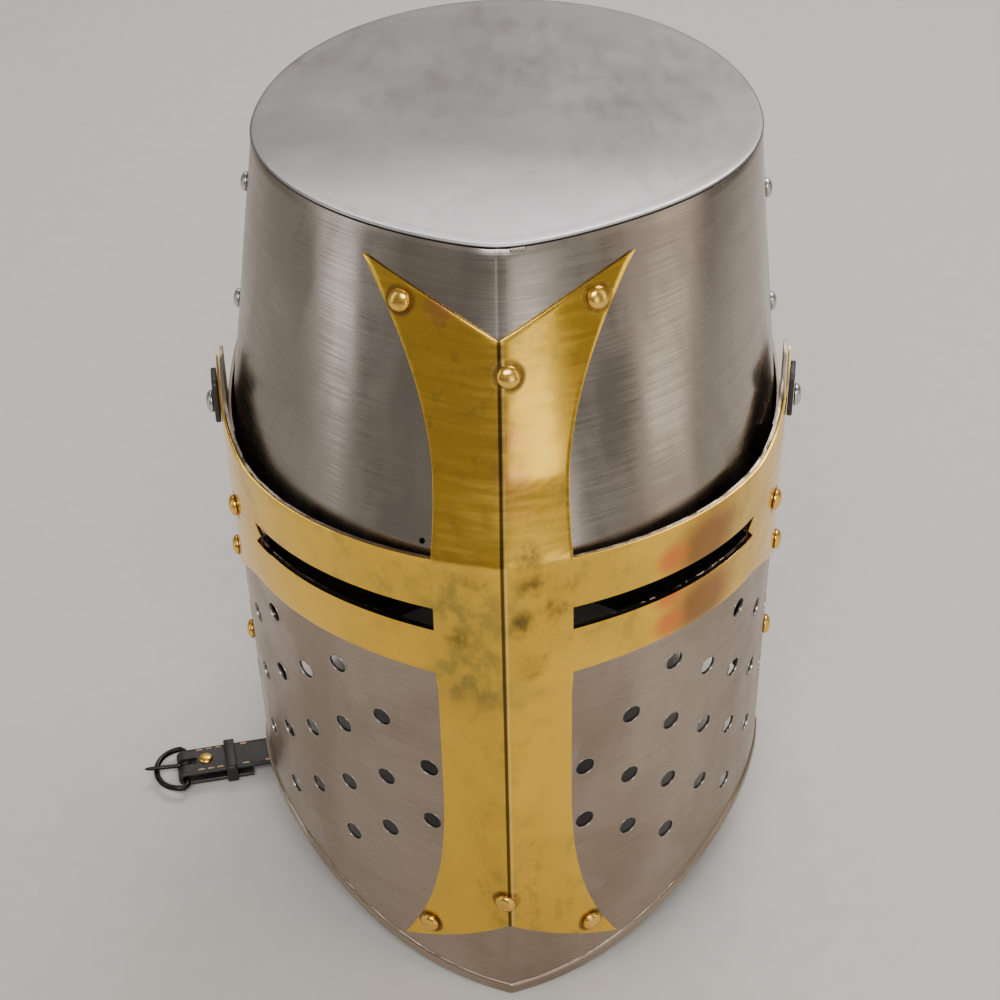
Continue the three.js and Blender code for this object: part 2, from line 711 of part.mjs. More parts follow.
// The buckle end, folded round the buckle's bar, with a slit for the prong.
function chinStrapTail() {
  const { inner } = FOLD;
  const outer = inner + FOLD.skin;
  const profile = [];
  const arc = (radius, from, to) => {
    for (let i = 0; i <= 8; i += 1) {
      const angle = THREE.MathUtils.lerp(from, to, i / 8);
      profile.push([TAIL_LENGTH + radius * Math.cos(angle), BUCKLE.barZ + radius * Math.sin(angle)]);
    }
  };
  profile.push([0, BUCKLE.barZ - outer]);
  arc(outer, -Math.PI / 2, Math.PI / 2);
  profile.push([0, BUCKLE.barZ + outer], [0, BUCKLE.barZ + inner]);
  arc(inner, Math.PI / 2, -Math.PI / 2);
  profile.push([0, BUCKLE.barZ - inner]);
  const shape = new THREE.Shape(profile.map(([x, y]) => new THREE.Vector2(x, y)));
  const flat = new THREE.ExtrudeGeometry(shape, { depth: STRAP_WIDTH, bevelEnabled: false });
  const position = flat.attributes.position;
  const moved = [];
  for (let i = 0; i < position.count; i += 1) {
    moved.push(tailPoint(position.getX(i), STRAP_WIDTH / 2 - position.getZ(i), position.getY(i)));
  }
  return mergedSolid(moved);
}

// Loose triangles, three points each, joined into one closed geometry.
function mergedSolid(corners) {
  const keyOf = (p) => p.toArray().map((value) => value.toFixed(4)).join();
  const points = [];
  const indexOf = new Map();
  const triangles = corners.map((corner) => {
    const key = keyOf(corner);
    if (!indexOf.has(key)) {
      indexOf.set(key, points.push(corner) - 1);
    }
    return indexOf.get(key);
  });
  return meshFrom(points, triangles);
}

function tailBox(from, to, halfWidth, low, high) {
  const place = (z) => (u, v) => tailPoint(
    THREE.MathUtils.lerp(from, to, u), THREE.MathUtils.lerp(-halfWidth, halfWidth, v), z);
  return sheet(place(high), place(low), 1, 1);
}

const prongSlit = tailBox(TAIL_LENGTH - 5.4, TAIL_LENGTH + 6, 2, -1, 12);
addPiece('chin_strap_tail',
  cut(chinStrapTail(), [prongSlit, drill(tailRivetAxis, STRAP_RIVET.shank + SHANK_CLEARANCE, 8)]),
  blackLeather);

// The rivet that closes the fold.
addPiece('strap_rivet', rivetBody(STRAP_RIVET, GAP, 7.7, tailRivetAxis), brass);

// The keeper: a leather loop round both layers of the tail.
function strapKeeper() {
  const skinThickness = 1.5;
  const half = STRAP_WIDTH / 2 + GAP + skinThickness;
  const block = tailBox(9, 14, half, 0.1, foldTop + GAP + skinThickness);
  const hollow = tailBox(8, 15, half - skinThickness, foldTop - 2 * (FOLD.inner + FOLD.skin) - GAP,
    foldTop + GAP);
  return cut(block, [hollow]);
}

addPiece('strap_keeper', strapKeeper(), blackLeather);

// ---------------------------------------------------------------- buckle

// A D-shaped wire frame whose straight side is the bar in the fold.
function buckleFrame() {
  const path = [];
  const straight = 6;
  for (let i = 0; i < straight; i += 1) {
    path.push(tailPoint(TAIL_LENGTH, THREE.MathUtils.lerp(-11, 11, i / (straight - 1)), BUCKLE.barZ));
  }
  for (let i = 1; i < 14; i += 1) {
    const angle = (i / 14) * Math.PI;
    const across = BUCKLE.halfLength * Math.cos(angle);
    const out = BUCKLE.reach * Math.sin(angle) ** 0.8;
    path.push(tailPoint(TAIL_LENGTH + out, across, BUCKLE.barZ));
  }
  return wireRing(path, BUCKLE.wire, 8, Z_AXIS);
}

// The prong: an eye round the bar and a pin that rests across the frame.
function buckleProng() {
  const eyeRadius = BUCKLE.wire + 0.4 + BUCKLE.prong;
  const eye = [];
  for (let i = 0; i < 16; i += 1) {
    const angle = (i / 16) * 2 * Math.PI;
    eye.push(tailPoint(
      TAIL_LENGTH + eyeRadius * Math.cos(angle), 0, BUCKLE.barZ + eyeRadius * Math.sin(angle)));
  }
  const ring = toSolid(wireRing(eye, BUCKLE.prong, 8, tailAcross.clone()));
  const start = tailPoint(TAIL_LENGTH + eyeRadius * 0.8, 0, BUCKLE.barZ + eyeRadius * 0.7);
  const tip = tailPoint(TAIL_LENGTH + BUCKLE.reach + 5, 0, BUCKLE.barZ + eyeRadius + 0.3);
  const length = start.distanceTo(tip);
  const axis = { point: start, direction: tip.clone().sub(start).normalize() };
  const pin = toSolid(turned([[BUCKLE.prong, 0], [BUCKLE.prong, length - 3], [0.4, length]], 8, axis));
  return fromSolid(ring.add(pin));
}

addPiece('buckle_frame', buckleFrame(), blackedSteel);
addPiece('buckle_prong', buckleProng(), blackedSteel);

// ---------------------------------------------------------------- chin strap, right

// A length of the right strap, which hangs straight down from the temple rivet.
function hangingStrap(bottom, top, rows, pointed) {
  const head = strapHead(1);
  const place = (lift) => (u, v) => {
    const taper = pointed && v === 0 ? 0.45 : 1;
    return head.point.clone()
      .setZ(THREE.MathUtils.lerp(bottom, top, v))
      .addScaledVector(head.across, (u - 0.5) * STRAP_WIDTH * taper)
      .addScaledVector(head.out, lift);
  };
  return sheet(place(LEATHER / 2), place(-LEATHER / 2), 2, rows);
}

// Holes for the prong.
function strapHoles() {
  const head = strapHead(1);
  const holes = [];
  for (let i = 0; i < 5; i += 1) {
    const point = head.point.clone().setZ(STRAP_END + 26 + i * 20);
    holes.push(turned([[1.8, -6], [1.8, 6]], 6, { point, direction: head.out }));
  }
  return holes;
}

addPiece('chin_strap_right_top',
  cut(hangingStrap(STRAP_BEND + 0.7, TEMPLE.z + 7, 2, false), rivetHoles('strap_right')), blackLeather);
addPiece('chin_strap_right', cut(hangingStrap(STRAP_END, STRAP_BEND - 0.7, 10, true), strapHoles()),
  blackLeather);

export default helm;
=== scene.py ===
# %% [markdown]
# # A knight's great helm
# A great helm is a barrel of steel plates: a flat lid, an upper wall that slopes in to it, and a lower
# wall that is drawn to a ridge in front. Brass strips cross the face, and rivets hold it all together.
# The frame holds the measured solids, and every piece made here lies in their space and adds the finish:
# smooth bent sheet, rounded edges, domed rivets, stitched leather and worn metal.

# %% Load the frame
import math

import bmesh
import bpy
import numpy as np
from mathutils import Matrix, Vector


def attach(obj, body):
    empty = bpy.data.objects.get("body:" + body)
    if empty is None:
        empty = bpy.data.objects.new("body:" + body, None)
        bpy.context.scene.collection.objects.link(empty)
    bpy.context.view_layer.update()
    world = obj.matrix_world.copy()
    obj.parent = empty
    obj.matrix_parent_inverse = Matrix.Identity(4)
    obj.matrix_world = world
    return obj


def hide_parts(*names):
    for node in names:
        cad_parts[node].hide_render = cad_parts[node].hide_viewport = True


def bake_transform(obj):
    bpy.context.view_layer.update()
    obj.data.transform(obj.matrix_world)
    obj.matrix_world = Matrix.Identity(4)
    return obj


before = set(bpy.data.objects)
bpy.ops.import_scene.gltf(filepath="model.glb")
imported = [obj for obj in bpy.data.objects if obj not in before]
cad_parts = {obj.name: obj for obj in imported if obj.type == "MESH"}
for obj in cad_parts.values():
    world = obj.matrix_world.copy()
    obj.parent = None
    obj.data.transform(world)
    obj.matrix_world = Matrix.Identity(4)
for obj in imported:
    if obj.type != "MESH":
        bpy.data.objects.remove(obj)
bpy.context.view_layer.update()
HELM, TAIL, RIGHT = "helm", "strap_tail", "strap_right"
FRAME_BODY, PRONG_BODY = "buckle_frame", "buckle_prong"

# %% [markdown]
# ## The helm's surfaces
# Every plate is bent round the same barrel, so one rule for the barrel makes them all fit. A level is the
# outline at one height, rounded in front with a ridge in the middle, and half an ellipse behind. The
# outline between two levels is a blend of them. A place on the barrel is then a turn in degrees from the
# ridge and a height, which is how a smith would mark out the sheet. Lengths are in millimetres here, and
# are made metres only when a mesh is built.

# %% Levels of the barrel
MM = 0.001
STEEL = 1.2
BRASS = 0.8
GAP = 0.3
ARM_GAP = 0.4
BAR_GAP = 0.45
LAP = STEEL + GAP
KEYS = ("z", "half", "front", "rear", "ridge", "ridge_power", "fullness", "soft", "shift")
CROWN = dict(zip(KEYS, (320.0, 91.6, 93.0, 103.0, 0.15, 2.0, 1.0, 0.1, 2.6)))
SKULL_BASE = dict(zip(KEYS, (222.5, 103.4, 134.5, 116.8, 0.05, 2.3, 0.86, 0.0, 0.0)))
FACE_TOP = dict(zip(KEYS, (222.5, 106.5, 137.0, 118.5, 0.05, 2.3, 0.734, 0.0, 0.0)))
FACE_RIM = dict(zip(KEYS, (0.0, 106.8, 134.7, 118.5, 0.315, 0.8, 0.734, 0.0, 0.0)))
SKULL_BOTTOM, SKULL_TOP, SKULL_SEAM, SKULL_UNDER = 206.0, CROWN["z"] - STEEL - GAP, 92.0, 84.0
FACE_EDGE, NECK_START, NECK_TOP, SIDE_RISE = 84.0, 72.0, 222.0, 36.0


def blend_levels(upper, lower, z):
    share = np.minimum((upper["z"] - z) / (upper["z"] - lower["z"]), 1.0)
    return {key: upper[key] + (lower[key] - upper[key]) * share for key in KEYS}


def skull_level(z):
    return blend_levels(CROWN, SKULL_BASE, z)


def face_level(z):
    return blend_levels(FACE_TOP, FACE_RIM, np.minimum(z, FACE_TOP["z"]))


def smooth_step(value, low, high):
    share = np.clip((value - low) / (high - low), 0, 1)
    return share * share * (3 - 2 * share)


def outline(level, turn):
    """Plan point of a level. The turn is 0 on the ridge and 90 on the +X side."""
    angle = np.radians(turn)
    side, ahead = np.abs(np.sin(angle)), np.cos(angle)
    aside = np.where(ahead <= 0, 1.0, smooth_step(side, 0.35, 1.0))
    x = level["half"] * np.sin(angle) + level["shift"] * aside
    rounded = (1 - level["ridge"]) * np.maximum(ahead, 0) ** level["fullness"]
    keel = level["ridge"] * (1 - np.minimum(np.hypot(side, level["soft"]), 1)) ** level["ridge_power"]
    return np.stack([x, np.where(ahead > 0, -level["front"] * (rounded + keel), -level["rear"] * ahead)], -1)


def on_surface(level_of, turn, z, lift=0.0):
    """Points on the barrel, moved out level with the ground by lift."""
    turn, z = np.broadcast_arrays(np.asarray(turn, float), np.asarray(z, float))
    level = level_of(z)
    along = outline(level, turn + 0.2) - outline(level, turn - 0.2)
    along /= np.linalg.norm(along, axis=-1, keepdims=True)
    outward = np.stack([along[..., 1], -along[..., 0]], -1)
    plan = outline(level, turn) + outward * np.asarray(lift, float)[..., None]
    return np.concatenate([plan, z[..., None]], -1)


def axis_at(level_of, turn, z):
    """A point on the barrel and the way out of the sheet there."""
    across = on_surface(level_of, turn + 0.2, z) - on_surface(level_of, turn - 0.2, z)
    up = on_surface(level_of, turn, z + 0.5) - on_surface(level_of, turn, z - 0.5)
    out = np.cross(across, up)
    return on_surface(level_of, turn, z), out / np.linalg.norm(out)


print("half width at the face", float(face_level(np.array(200.0))["half"]))

# %% [markdown]
# ## From a grid to a bent sheet
# A plate is a closed shell: a grid of points on the outside, the same grid one thickness further in, and
# a strip of faces round the edge. Building the grid from the barrel's rule keeps every column on the true
# curve, which extruding and bending a flat plate would not. The columns crowd together at the ridge, so
# the fold is a tight bend of about a millimetre and not a wide curve. A small bevel afterwards breaks the
# cut edges, and they catch the light as filed metal does.


# %% Mesh helpers
def new_piece(name, points, faces, materials):
    mesh = bpy.data.meshes.new(name)
    mesh.from_pydata((np.asarray(points, float).reshape(-1, 3) * MM).tolist(), [], faces)
    mesh.validate()
    for material in materials:
        mesh.materials.append(material)
    mesh.shade_smooth()
    piece = bpy.data.objects.new(name, mesh)
    bpy.context.scene.collection.objects.link(piece)
    return piece


def shell_faces(rows, columns, closed=False):
    """Faces of a shell whose points are an outer grid and then an inner one."""
    half = rows * columns
    faces = []
    span = columns if closed else columns - 1
    for j in range(rows - 1):
        for i in range(span):
            k = (i + 1) % columns
            a, b, c, d = j * columns + i, j * columns + k, (j + 1) * columns + k, (j + 1) * columns + i
            faces += [(a, b, c, d), (half + a, half + d, half + c, half + b)]
    for i in range(span):
        k = (i + 1) % columns
        top = (rows - 1) * columns
        faces += [(i, half + i, half + k, k), (top + i, top + k, half + top + k, half + top + i)]
    if not closed:
        for j in range(rows - 1):
            a, b = j * columns, (j + 1) * columns
            c, d = a + columns - 1, b + columns - 1
            faces += [(a, b, half + b, half + a), (c, half + c, half + d, d)]
    return faces


def shell(name, outer, inner, material, closed=False):
    rows, columns = outer.shape[:2]
    points = np.concatenate([outer.reshape(-1, 3), inner.reshape(-1, 3)])
    return new_piece(name, points, shell_faces(rows, columns, closed), [material])


def apply_modifiers(piece):
    """Turns the evaluated shape into the piece's plain mesh."""
    depsgraph = bpy.context.evaluated_depsgraph_get()
    mesh = bpy.data.meshes.new_from_object(piece.evaluated_get(depsgraph))
    piece.modifiers.clear()
    piece.data = mesh
    mesh.name = piece.name
    return piece


def soften(piece, width=0.25, segments=2, angle=38.0):
    """Breaks the sharp edges, and keeps what is still sharp from being shaded round."""
    bevel = piece.modifiers.new("broken_edges", "BEVEL")
    bevel.width = width * MM
    bevel.segments = segments
    bevel.limit_method = "ANGLE"
    bevel.angle_limit = math.radians(angle)
    apply_modifiers(piece)
    piece.data.set_sharp_from_angle(angle=math.radians(46))
    return piece


def face_outward(mesh, *others):
    """Turns every face outward, after taking in the other meshes."""
    bm = bmesh.new()
    for part in (mesh, *others):
        bm.from_mesh(part)
    bmesh.ops.recalc_face_normals(bm, faces=bm.faces)
    bm.to_mesh(mesh)
    bm.free()
    mesh.shade_smooth()


def settle(piece, body, replaced=()):
    """Puts a finished piece on its body, hides the frame parts that it replaces and prints its size."""
    if replaced:
        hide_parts(*replaced)
    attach(piece, body)
    triangles = sum(len(p.vertices) - 2 for p in piece.data.polygons)
    print(f"{piece.name}: {triangles} triangles on {body}")
    return piece


# Below this height the inner faces take the painted shade.
SHADE_BELOW = 213.0


def paint_inside_shade(piece, material):
    """Below the arms' top edge the faces towards the helm's axis get a near-black finish, painted shade for
    the hollow inside.
    """
    piece.data.materials.append(material)
    last = len(piece.data.materials) - 1
    for face in piece.data.polygons:
        inward = face.normal.x * face.center.x + face.normal.y * face.center.y
        if inward < -0.5 * math.hypot(*face.center[:2]) and face.center.z < SHADE_BELOW * MM:
            face.material_index = last
    return piece


def ridge_turns(edge, step=1.25, fold=0.3):
    """Turns from -edge to edge, with the columns of the fold close together in the middle."""
    half = np.concatenate([[fold, 3 * fold], np.linspace(6 * fold, edge, int(edge / step))])
    return np.concatenate([-half[::-1], [0.0], half])


# %% [markdown]
# ## Metal finishes
# Sheet steel and brass aren't painted: all their colour is in the reflection. What tells polished from
# brushed is how rough the surface is and which way the polishing marks run. Long thin noise, squeezed
# along one axis, gives the marks. Broad soft noise gives handling stains, and a few small flecks give the
# pits. Everything reads Object coordinates, so that the pattern stays put on the metal.


# %% Node helpers
class Nodes:
    """Short words for building one material's nodes."""

    def __init__(self, name):
        self.material = bpy.data.materials.new(name)
        self.material.use_nodes = True
        self.tree = self.material.node_tree
        self.shader = self.tree.nodes["Principled BSDF"]
        self.place = self.tree.nodes.new("ShaderNodeTexCoord").outputs["Object"]

    def link(self, source, target):
        self.tree.links.new(source, target)

    def set(self, node, name, value):
        if isinstance(value, bpy.types.NodeSocket):
            self.link(value, node.inputs[name])
        else:
            node.inputs[name].default_value = value

    def scaled(self, scale, shift=(0.0, 0.0, 0.0)):
        node = self.tree.nodes.new("ShaderNodeMapping")
        self.link(self.place, node.inputs["Vector"])
        node.inputs["Scale"].default_value = scale
        node.inputs["Location"].default_value = shift
        return node.outputs["Vector"]

    def noise(self, vector, detail=3.0, rough=0.5, distortion=0.0):
        node = self.tree.nodes.new("ShaderNodeTexNoise")
        self.link(vector, node.inputs["Vector"])
        values = {"Scale": 1.0, "Detail": detail, "Roughness": rough, "Distortion": distortion}
        for key, value in values.items():
            node.inputs[key].default_value = value
        return node.outputs["Fac"]

    def ramp(self, value, low, high, to_low=0.0, to_high=1.0):
        node = self.tree.nodes.new("ShaderNodeMapRange")
        node.interpolation_type = "SMOOTHSTEP"
        self.link(value, node.inputs["Value"])
        for key, number in (("From Min", low), ("From Max", high), ("To Min", to_low), ("To Max", to_high)):
            self.set(node, key, number)
        return node.outputs["Result"]

    def math(self, operation, a, b=0.0, clamp=False):
        node = self.tree.nodes.new("ShaderNodeMath")
        node.operation = operation
        node.use_clamp = clamp
        for socket, value in zip(node.inputs, (a, b)):
            if isinstance(value, bpy.types.NodeSocket):
                self.link(value, socket)
            else:
                socket.default_value = value
        return node.outputs["Value"]

    def mix(self, share, a, b):
        node = self.tree.nodes.new("ShaderNodeMix")
        node.data_type = "RGBA"
        self.set(node, 0, share)
        for index, value in ((6, a), (7, b)):
            if isinstance(value, bpy.types.NodeSocket):
                self.link(value, node.inputs[index])
            else:
                node.inputs[index].default_value = (*value, 1.0)
        return node.outputs[2]

    def split(self):
        node = self.tree.nodes.new("ShaderNodeSeparateXYZ")
        self.link(self.place, node.inputs[0])
        return node.outputs

    def near(self, point, inner, outer):
        """1 within inner millimetres of a point, fading to 0 at outer."""
        node = self.tree.nodes.new("ShaderNodeVectorMath")
        node.operation = "DISTANCE"
        self.link(self.place, node.inputs[0])
        node.inputs[1].default_value = [c * MM for c in point]
        return self.ramp(node.outputs["Value"], inner * MM, outer * MM, 1.0, 0.0)

    def near_any(self, points, inner, outer):
        found = self.near(points[0], inner, outer)
        for point in points[1:]:
            found = self.math("MAXIMUM", found, self.near(point, inner, outer))
        return found

    def bump(self, height, strength, distance, normal=None):
        node = self.tree.nodes.new("ShaderNodeBump")
        node.inputs["Strength"].default_value = strength
        node.inputs["Distance"].default_value = distance * MM
        self.link(height, node.inputs["Height"])
        if normal is not None:
            self.link(normal, node.inputs["Normal"])
        return node.outputs["Normal"]

    def finish(self, colour, roughness, normal=None, metallic=1.0):
        plain = not isinstance(colour, bpy.types.NodeSocket)
        self.set(self.shader, "Base Color", (*colour, 1.0) if plain else colour)
        self.set(self.shader, "Roughness", roughness)
        self.shader.inputs["Metallic"].default_value = metallic
        if normal is not None:
            self.link(normal, self.shader.inputs["Normal"])
        print("finish", self.material.name, "with", len(self.tree.nodes), "nodes")
        return self.material


# %% [markdown]
# ### Steel
# The skull is polished along its height and then finished with fine marks that run round it, so its
# reflections stand as soft upright bands with a faint cross grain. The lid is duller and cloudy, with a
# painted highlight that lightens its front, and the lower plates are brushed and have browned a little. One
# recipe makes all three with different numbers.


# %% Steel finishes
def steel(name, light, dark, rough, marks, mark_depth, bands, stains, holes=(), painted_front_highlight=None):
    n = Nodes(name)
    grain = n.noise(n.scaled(marks), detail=4.0, rough=0.62)
    fine = n.noise(n.scaled([value * 3.1 for value in marks]), detail=2.0)
    cloud = n.noise(n.scaled((17.0, 17.0, 11.0)), detail=4.0, rough=0.55, distortion=0.4)
    band = n.noise(n.scaled(bands), detail=2.0, rough=0.5)
    fleck = n.ramp(n.noise(n.scaled((520.0, 520.0, 520.0)), detail=2.0, rough=0.7), 0.735, 0.79)
    patch = n.ramp(n.noise(n.scaled((31.0, 27.0, 23.0), shift=(3.0, 1.0, 0.0)), detail=3.0), 0.52, 0.68)
    pits = n.math("MULTIPLY", fleck, patch)
    tone = n.mix(n.ramp(cloud, 0.34, 0.68), light, dark)
    tone = n.mix(n.ramp(grain, 0.35, 0.7, 0.0, 0.22), tone, [c * 0.7 for c in dark])
    tone = n.mix(n.math("MULTIPLY", n.ramp(patch, 0.2, 1.0), stains[1]), tone, stains[0])
    tone = n.mix(n.math("MULTIPLY", pits, 0.35), tone, (0.9, 0.89, 0.88))
    wear = n.math("ADD", n.ramp(cloud, 0.3, 0.7, -0.05, 0.06), n.ramp(band, 0.35, 0.65, -0.04, 0.05))
    rough_map = n.math("ADD", n.math("ADD", wear, rough), n.ramp(grain, 0.3, 0.7, -0.04, 0.06))
    rough_map = n.math("ADD", rough_map, n.math("MULTIPLY", pits, 0.25), clamp=True)
    height = n.math("ADD", grain, n.math("MULTIPLY", fine, 0.45))
    normal = n.bump(height, 0.25, mark_depth)
    normal = n.bump(band, 0.4, mark_depth * 8.0, normal)
    # Painted highlight: the tone lightens towards the front edge of the lid.
    if painted_front_highlight is not None:
        back = n.math("ADD", n.split()[1], n.math("MULTIPLY", cloud, 30 * MM))
        tone = n.mix(n.ramp(back, -72 * MM, 4 * MM, 1.0, 0.0), tone, painted_front_highlight)
    # Each listed hole is a spot of painted shade: near black and rough, where a small hole shows the dark
    # inside.
    for point, size in holes:
        hole = n.near(point, size - 0.25, size + 0.1)
        tone = n.mix(hole, tone, (0.006, 0.006, 0.006))
        rough_map = n.math("MAXIMUM", rough_map, n.math("MULTIPLY", hole, 0.8))
    return n.finish(tone, rough_map, normal)


# A stray hole in the skull, drawn only as a spot of painted shade.
stray_hole_shade, _ = axis_at(skull_level, -15.2, 226.0)
polished_steel = steel(
    "polished_steel", (0.44, 0.395, 0.35), (0.32, 0.28, 0.24), 0.25, (30.0, 30.0, 1500.0), 0.0028,
    (60.0, 60.0, 5.0), ((0.40, 0.345, 0.30), 0.35), [(stray_hole_shade, 1.2)])
lid_steel = steel(
    "lid_steel", (0.36, 0.335, 0.34), (0.27, 0.25, 0.255), 0.38, (150.0, 60.0, 60.0), 0.005,
    (14.0, 14.0, 14.0), ((0.36, 0.33, 0.34), 0.4), painted_front_highlight=(0.62, 0.60, 0.61))
brushed_steel = steel(
    "brushed_steel", (0.43, 0.348, 0.275), (0.31, 0.242, 0.185), 0.3, (30.0, 30.0, 1100.0), 0.012,
    (48.0, 48.0, 9.0), ((0.40, 0.33, 0.29), 0.5))

# %% [markdown]
# ## Where the rivets are
# The rivet places come before the brass, because its colour has a painted shade round each rivet, where the
# hammer has dished the brass. Each rivet has a head outside and a hammered tail inside, on the same axis
# through the plates.

# %% Rivet places
BAR_SEAT = BAR_GAP + BRASS
ARM_SEAT = ARM_GAP + BRASS
TEMPLE_TURN, TEMPLE_Z, TAB_THICKNESS, STRAP_INSET, LEATHER = 78.3, 226.0, 2.0, 9.8, 2.2


def temple_axis(sign):
    point, out = axis_at(face_level, sign * TEMPLE_TURN, FACE_TOP["z"] - 1)
    point = np.array([point[0], point[1], TEMPLE_Z])
    out = np.array([out[0], out[1], 0.0])
    return point, out / np.linalg.norm(out)


brass_rivets, temple_rivets, seam_rivets = [], [], []
for sign in (-1, 1):
    brass_rivets += [
        (*axis_at(skull_level, sign * 19.9, 299.0), BAR_SEAT, 3.5),
        (*axis_at(face_level, sign * 17.1, 29.0), BAR_SEAT, 3.5),
        (*axis_at(face_level, sign * 69.8, 190.0), ARM_SEAT, 4.1),
        (*axis_at(face_level, sign * 77.5, 156.0), ARM_SEAT, 5.0),
        (*axis_at(face_level, sign * 78.4, 108.0), 0.0, 3.7),
    ]
    temple_rivets.append((*temple_axis(sign), ARM_SEAT + TAB_THICKNESS + GAP, 15.0))
    seam_rivets += [
        (*axis_at(skull_level, sign * 88.5, 291.5 if sign > 0 else 296.8), 0.0, 3.7),
        (*axis_at(skull_level, sign * 88.5, 244.0 if sign > 0 else 248.3), 0.0, 6.4),
        (*axis_at(face_level, sign * 140.0, 214.0), -LAP, 5.0),
    ]
brass_rivets += [
    (*axis_at(skull_level, 1.7, 280.7), BAR_SEAT, 4.4),
    (*axis_at(face_level, -0.5, 56.0), BAR_SEAT, 4.9),
]
seam_rivets.append((*axis_at(face_level, 180.0, 214.0), -LAP, 4.3))
brass_rivet_heads = [point + out * seat for point, out, seat, _ in brass_rivets]
print("brass rivets", len(brass_rivets), "steel rivets", len(seam_rivets) + len(temple_rivets))

# %% [markdown]
# ### Brass
# Polished brass is a clear yellow that goes olive where it starts to tarnish, and coppery where acid from
# fingers has drawn the zinc out. Round the rivets a painted shade stands for the dish that the hammer
# leaves, and the fold down the upright gets a painted dark line with a painted highlight beside it. The
# stains are soft noise, plus a few that the cross has in known places: beside the ridge above the arms, and
# on the arms themselves.

# %% Brass finish
TARNISH_SPOTS = ((9.0, -134.0, 215.0), (5.0, -136.5, 199.0), (8.0, -133.0, 226.0), (17.0, -131.5, 203.0),
                 (21.0, -129.0, 212.0), (-9.0, -134.0, 218.0), (-14.0, -132.0, 190.0), (9.0, -135.0, 178.0))
COPPER_SPOTS = ((4.0, -122.0, 250.0), (4.5, -119.0, 262.0), (5.0, -126.0, 241.0), (-20.0, -97.0, 300.0))
DULL_PLACES = ((-6.0, 172.0), (-7.0, 205.0))
HEATED_PLACES = ((42.0, 178.0), (42.0, 208.0))
BLUSH_PLACES = ((33.0, 176.0), (33.0, 190.0), (33.0, 208.0))


def brass_finish():
    n = Nodes("brass")
    grain = n.noise(n.scaled((46.0, 46.0, 520.0)), detail=3.0, rough=0.6)
    cloud = n.noise(n.scaled((26.0, 26.0, 15.0)), detail=5.0, rough=0.6, distortion=0.5)
    mottle = n.noise(n.scaled((150.0, 150.0, 105.0), shift=(1.0, 2.0, 0.0)), detail=4.0, rough=0.62)
    tone = n.mix(n.ramp(cloud, 0.36, 0.66), (0.97, 0.59, 0.065), (0.80, 0.49, 0.06))
    olive = n.math("MULTIPLY", n.ramp(mottle, 0.5, 0.66), n.ramp(cloud, 0.44, 0.62, 0.0, 0.55))
    tone = n.mix(olive, tone, (0.46, 0.33, 0.065))
    ragged = n.ramp(mottle, 0.38, 0.6, 0.25, 1.0)
    tarnish = n.math("MULTIPLY", n.near_any(TARNISH_SPOTS, 1.0, 9.0), ragged)
    tone = n.mix(n.math("MULTIPLY", tarnish, 0.95), tone, (0.11, 0.08, 0.03))
    copper = n.math("MULTIPLY", n.near_any(COPPER_SPOTS, 1.0, 8.5), ragged)
    tone = n.mix(n.math("MULTIPLY", copper, 0.75), tone, (0.80, 0.33, 0.11))
    dull = n.near_any([on_surface(face_level, *place) for place in DULL_PLACES], 5.0, 27.0)
    tone = n.mix(n.math("MULTIPLY", dull, n.ramp(mottle, 0.36, 0.62, 0.25, 0.85)), tone, (0.36, 0.275, 0.07))
    heated = n.near_any([on_surface(face_level, *place) for place in HEATED_PLACES], 6.0, 24.0)
    tone = n.mix(n.math("MULTIPLY", heated, 0.9), tone, (0.30, 0.12, 0.035))
    blush = n.near_any([on_surface(face_level, *place) for place in BLUSH_PLACES], 2.0, 10.0)
    tone = n.mix(n.math("MULTIPLY", blush, 0.85), tone, (0.84, 0.22, 0.05))
    # Painted shade in a ring round each rivet, where the hammer has dished the brass.
    ring = n.math("MULTIPLY", n.near_any(brass_rivet_heads, 4.9, 6.5), n.ramp(mottle, 0.3, 0.6, 0.5, 1.0))
    tone = n.mix(n.math("MULTIPLY", ring, 0.85), tone, (0.10, 0.055, 0.025))
    across = n.split()[0]
    # Painted shade along the middle fold of the upright, and a painted highlight in a thin line just beside
    # it.
    fold = n.ramp(n.math("ABSOLUTE", across), 0.4 * MM, 0.85 * MM, 1.0, 0.0)
    fold_side_highlight = n.ramp(n.math("ABSOLUTE", n.math("SUBTRACT", across, 1.3 * MM)), 0.1 * MM, 0.6 * MM, 0.45, 0.0)
    tone = n.mix(fold_side_highlight, tone, (1.0, 0.76, 0.28))
    tone = n.mix(n.math("MULTIPLY", fold, 0.93), tone, (0.07, 0.045, 0.015))
    # A stray hole in the brass, drawn only as a dark spot of painted shade.
    stray_brass_hole_shade, _ = axis_at(skull_level, -19.35, 296.6)
    tone = n.mix(n.near(stray_brass_hole_shade, 0.9, 1.9), tone, (0.01, 0.008, 0.006))
    rough_map = n.math("ADD", n.ramp(cloud, 0.3, 0.7, 0.14, 0.26), n.ramp(grain, 0.3, 0.7, -0.03, 0.05))
    rough_map = n.math("ADD", rough_map, n.math("MULTIPLY", n.math("ADD", tarnish, ring), 0.25), clamp=True)
    normal = n.bump(grain, 0.3, 0.012)
    normal = n.bump(cloud, 0.35, 0.16, normal)
    return n.finish(tone, rough_map, normal)


brass = brass_finish()


def plain_metal(name, colour, rough):
    """Small metal pieces: an even polish with light scuffs."""
    n = Nodes(name)
    scuff = n.noise(n.scaled((300.0, 300.0, 300.0)), detail=4.0, rough=0.6)
    tone = n.mix(n.ramp(scuff, 0.45, 0.7, 0.0, 0.5), colour, [c * 0.55 for c in colour])
    return n.finish(tone, n.ramp(scuff, 0.3, 0.7, rough - 0.05, rough + 0.12), n.bump(scuff, 0.25, 0.05))


